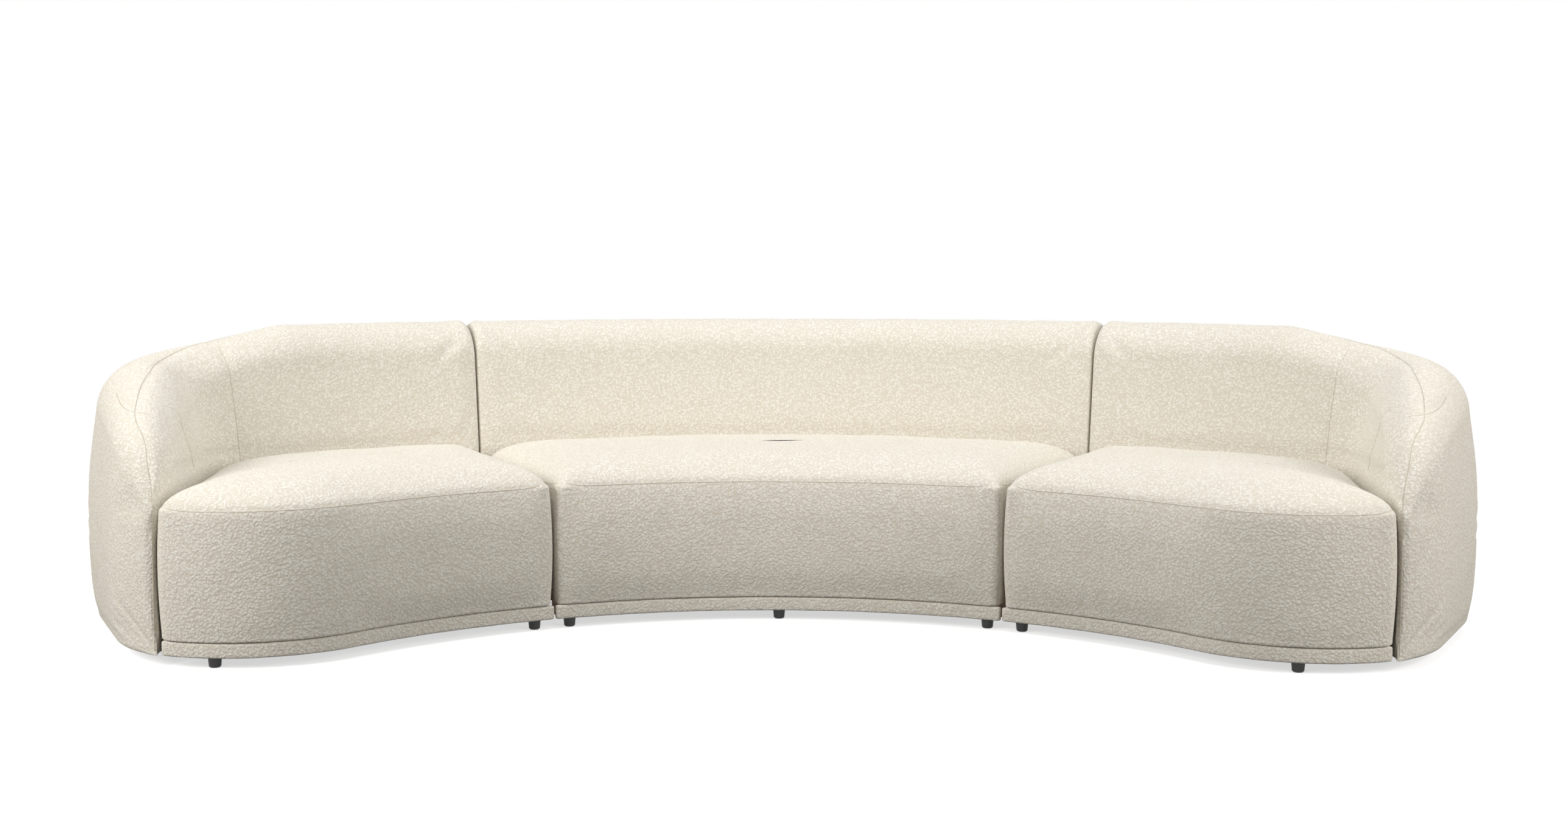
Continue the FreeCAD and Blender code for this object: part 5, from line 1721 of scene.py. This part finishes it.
def strap_set(name: str, first: float, last: float) -> bpy.types.Object:
    """Three flat straps across the back's ribs, each a rounded ribbon with sewn edges.

    Args:
        name: The piece's name.
        first: The plan angle they start at.
        last: Where they end.

    Returns:
        The straps as one mesh.
    """
    radius, thick, wide = 1.9850, 0.0014, 0.050
    points, faces = [], []
    angles = np.linspace(first, last, 60)
    for low in (0.420, 0.500, 0.580):
        offset = len(points)
        ring = [(0.0002, low), (0.0, low + 0.002), (0.0002, low + 0.005), (0.0, low + wide / 2),
                (0.0002, low + wide - 0.005), (0.0, low + wide - 0.002), (0.0002, low + wide),
                (thick - 0.0002, low + wide), (thick, low + wide / 2), (thick - 0.0002, low)]
        for angle in angles:
            points += [tuple(to_row(np.array((*polar(radius + out, angle), up)))) for out, up in ring]
        rows = len(angles)
        faces += [tuple(offset + number for number in face) for face in grid_faces(rows, len(ring), True)]
        faces.append(tuple(offset + number for number in range(len(ring)))[::-1])
        faces.append(tuple(offset + (rows - 1) * len(ring) + number for number in range(len(ring))))
    return new_piece(name, np.array(points), faces)


@dataclass
class Upholstery:
    """The soft pieces of all three modules, made for the centre and the right and mirrored for the left.

    Attributes:
        finishes: The materials.
        runs: The node tree for seams and staples.
    """

    finishes: Finishes
    runs: RunTree = field(default_factory=lambda: RunTree("sewn_or_stapled_run"))

    def dress(self) -> None:
        """Builds, dresses and places every soft piece."""
        self._module("centre", False)
        self._module("right", True)

    def _module(self, body: str, end_module: bool) -> None:
        """Makes one module's soft pieces; an end's are copied to the other side too.

        Args:
            body: The module's body.
            end_module: True for the right end.
        """
        seat, seat_seams = SeatSkin(end_module).build(f"{body}_seat_fabric")
        back, back_seams = WallSkin(end_module).build(f"{body}_back_fabric")
        band = self._band(body, end_module)
        lining, staple_line, area, box = Lining(end_module).build(f"{body}_lining_cloth")
        straps = strap_set(f"{body}_straps", 28.4 if end_module else -20.8, 47.0 if end_module else 20.8)
        sewn = {"Line_Radius": 0.0011, "Line_Step": 0.006, "Bar_Step": 0.0095, "Bar_Length": 0.0055,
                "Bar_Width": 0.0012, "Bar_Height": 0.0012, "Bar_Lift": 0.0004}
        seams = self.runs.along(f"{body}_seams", seat_seams + back_seams, self.finishes.thread, **sewn)
        stapled = {"Line_Radius": 0.0001, "Line_Step": 0.05, "Bar_Step": 0.045, "Bar_Length": 0.010,
                   "Bar_Width": 0.0013, "Bar_Height": 0.0006, "Bar_Lift": -0.0003}
        staples = self.runs.along(f"{body}_staples", [staple_line], self.finishes.zinc, **stapled)
        sides = (Side.RIGHT, Side.LEFT) if end_module else (Side.RIGHT,)
        wool, thread = self.finishes.wool, self.finishes.thread
        pieces = {"seat": (seat, "boucle", wool), "back": (back, "boucle", wool),
                  "band": (band, "boucle", wool), "seams": (seams, "boucle", thread),
                  "lining": (lining, "dust_cloth", self.finishes.lining),
                  "straps": (straps, "webbing", self.finishes.web),
                  "staples": (staples, "zinc_steel", self.finishes.zinc)}
        stands_for = {"seat": ("seat_cover", "seat_foam", "front_pad"), "back": ("back_cover", "back_foam"),
                      "band": ("base_band",), "lining": ("dust_cover",), "straps": ("back_webbing",)}
        twins = {}
        if end_module:
            twins = {key: mirrored(value[0], value[0].name.replace("right", "left"))
                     for key, value in pieces.items()}
        for side in sides:
            name = body if side is Side.RIGHT else "left"
            for key, (piece, slot, material) in pieces.items():
                here = piece if side is Side.RIGHT else twins[key]
                if key in stands_for:
                    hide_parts(*(f"{name}_{node}" for node in stands_for[key]))
                finish_piece(here, name, material)

    def _band(self, body: str, end_module: bool) -> bpy.types.Object:
        """The padded strip under one seat's front.

        Args:
            body: The module's body.
            end_module: True for the right end.

        Returns:
            The strip.
        """
        joint_room = math.degrees(0.0012 / PLAN.band_radius)
        if not end_module:
            near = PLAN.near_centre - joint_room
            return swept_band(f"{body}_band_fabric", *arc_run(-near, near, PLAN.band_radius))
        near = PLAN.near_end + joint_room
        path, across = arc_run(near, PLAN.turn_angle, PLAN.band_radius)
        path, across = path[:-2], across[:-2]
        first, last = 180 + PLAN.turn_angle, 180 - PLAN.band_lobe_end
        length = math.radians(first - last) * PLAN.band_lobe_radius
        angles = np.linspace(first, last, int(length / BAND_STEP))
        angles = np.concatenate([angles[:-1], [angles[-1] + 0.28, angles[-1]]])
        for angle in angles:
            way = polar(1, angle)
            path.append((PLAN.lobe[0] + way[0] * PLAN.band_lobe_radius,
                         PLAN.lobe[1] + way[1] * PLAN.band_lobe_radius))
            across.append((-way[0], -way[1]))
        return swept_band(f"{body}_band_fabric", path, across)


@dataclass
class FramePieces:
    """The frame, springs, feet and fittings that keep their own shapes.

    Attributes:
        finishes: The materials.
    """

    finishes: Finishes

    def dress(self) -> None:
        """Gives each of these pieces its material."""
        by_kind = {"front_rail": self.finishes.wood, "rear_rail": self.finishes.wood,
                   "side_rails": self.finishes.wood, "base_blocks": self.finishes.wood,
                   "back_ribs": self.finishes.wood, "back_top_rail": self.finishes.wood,
                   "feet": self.finishes.foot, "foot_bolts": self.finishes.zinc,
                   "seat_springs": self.finishes.spring, "spring_clips": self.finishes.zinc,
                   "connector_jaws": self.finishes.zinc, "connector_tongues": self.finishes.zinc,
                   "connector_screws": self.finishes.zinc}
        for name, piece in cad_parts.items():
            kind = name.split("_", 1)[1]
            if kind not in by_kind:
                continue
            for slot in piece.material_slots:
                slot.material = by_kind[kind]
            LOG.info("%s keeps its shape", name)


@dataclass
class Studio:
    """The pale floor, the lamps and the camera.

    Attributes:
        focal_length: The lens in millimetres, on a 36 mm frame.
        pitch: How far the camera looks down, in radians.
        yaw: How far it looks to the left, in radians.
        camera_place: Where the camera stands.
        floor_glow: How much white the floor adds to what the lamps give it.
        ambient: The strength of the even light from all round.
    """

    focal_length: float = 41.9
    pitch: float = 0.0858
    yaw: float = 0.0221
    camera_place: tuple[float, float, float] = (0.117, -4.838, 0.942)
    floor_glow: float = 0.62
    ambient: float = 0.20

    def build(self) -> None:
        """Sets the stage."""
        self._floor()
        self._world()
        warm, cool = (1.0, 0.978, 0.94), (0.98, 0.99, 1.0)
        self._lamp("left_light", (-4.2, -3.0, 2.6), (0.3, 0.1, 0.4), 2.4, 182, warm)
        self._lamp("right_light", (4.4, -2.6, 2.2), (-0.2, 0.1, 0.4), 2.4, 128, warm)
        self._lamp("top_light", (0.0, 0.1, 4.2), (0.0, 0.0, 0.3), 4.6, 122, cool)
        lens = bpy.data.cameras.new("camera")
        lens.lens = self.focal_length
        lens.sensor_width = 36
        lens.clip_end = 200
        camera = bpy.data.objects.new("camera", lens)
        camera.location = self.camera_place
        camera.rotation_euler = (math.pi / 2 - self.pitch, 0, self.yaw)
        bpy.context.scene.collection.objects.link(camera)
        bpy.context.scene.camera = camera
        bpy.context.scene.view_settings.view_transform = "Standard"

    @staticmethod
    def _seen(use: Shading) -> bpy.types.NodeSocket:
        """1 for rays that see the background itself, straight, in gloss or through glass.

        Args:
            use: The tree's helper.

        Returns:
            The mask.
        """
        path = use.node("ShaderNodeLightPath")
        first = use.math("MAXIMUM", path.outputs["Is Camera Ray"], path.outputs["Is Glossy Ray"])
        return use.math("MAXIMUM", first, path.outputs["Is Transmission Ray"])

    def _floor(self) -> None:
        """A pale floor that turns to plain white away from the sofa's shadow."""
        mesh = bpy.data.meshes.new("floor")
        mesh.from_pydata([(-30, -30, 0), (30, -30, 0), (30, 30, 0), (-30, 30, 0)], [], [(0, 1, 2, 3)])
        floor = bpy.data.objects.new("floor", mesh)
        bpy.context.scene.collection.objects.link(floor)
        material = bpy.data.materials.new("pale_floor")
        material.use_nodes = True
        use = Shading(material.node_tree)
        material.node_tree.nodes.remove(material.node_tree.nodes["Principled BSDF"])
        result = material.node_tree.nodes["Material Output"]
        seen = self._seen(use)
        matte = use.node("ShaderNodeBsdfDiffuse")
        use.link(use.mix(seen, (0.12, 0.12, 0.12, 1), (0.80, 0.80, 0.80, 1)), matte.inputs["Color"])
        glow = use.node("ShaderNodeEmission", Color=(1, 1, 1, 1))
        use.link(use.math("MULTIPLY", seen, self.floor_glow), glow.inputs["Strength"])
        near = use.node("ShaderNodeAddShader")
        use.link(matte.outputs[0], near.inputs[0])
        use.link(glow.outputs[0], near.inputs[1])
        white = use.node("ShaderNodeEmission", Color=(1, 1, 1, 1))
        where = use.node("ShaderNodeTexCoord")
        squeezed = use.node("ShaderNodeMapping", Scale=(1 / 2.2, 1 / 1.35, 0))
        use.link(where.outputs["Object"], squeezed.inputs["Vector"])
        away = use.node("ShaderNodeVectorMath", operation="LENGTH")
        use.link(squeezed.outputs[0], away.inputs[0])
        fade = use.node("ShaderNodeMapRange", interpolation_type="SMOOTHSTEP")
        fade.inputs["From Min"].default_value = 1.0
        fade.inputs["From Max"].default_value = 1.5
        use.link(away.outputs["Value"], fade.inputs["Value"])
        both = use.node("ShaderNodeMixShader")
        use.link(use.math("MULTIPLY", fade.outputs[0], seen), both.inputs[0])
        use.link(near.outputs[0], both.inputs[1])
        use.link(white.outputs[0], both.inputs[2])
        use.link(both.outputs[0], result.inputs["Surface"])
        mesh.materials.append(material)

    def _world(self) -> None:
        """Soft even light, seen as plain white."""
        world = bpy.data.worlds.new("studio")
        bpy.context.scene.world = world
        world.use_nodes = True
        use = Shading(world.node_tree)
        background = world.node_tree.nodes["Background"]
        background.inputs["Color"].default_value = (1, 1, 1, 1)
        seen = self._seen(use)
        strength = use.math("ADD", use.math("MULTIPLY", seen, 1.0 - self.ambient), self.ambient)
        use.link(strength, background.inputs["Strength"])

    @staticmethod
    def _lamp(name: str, place: tuple[float, float, float], target: tuple[float, float, float], size: float,
              power: float, colour: tuple[float, float, float]) -> None:
        """Adds a large soft lamp that points at a target.

        Args:
            name: The lamp's name.
            place: Where it stands.
            target: What it points at.
            size: Its width in metres.
            power: Its power in watts.
            colour: Its colour.
        """
        light = bpy.data.lights.new(name, "AREA")
        light.color = colour
        light.size = size
        light.energy = power
        lamp = bpy.data.objects.new(name, light)
        lamp.location = place
        lamp.rotation_euler = (Vector(target) - Vector(place)).to_track_quat("-Z", "Y").to_euler()
        bpy.context.scene.collection.objects.link(lamp)


def main() -> None:
    """Builds the sofa's looks and its studio."""
    logging.basicConfig(level=logging.INFO, format="%(message)s")
    finishes = Finishes()
    Upholstery(finishes).dress()
    FramePieces(finishes).dress()
    Studio().build()


if __name__ == "__main__":
    main()
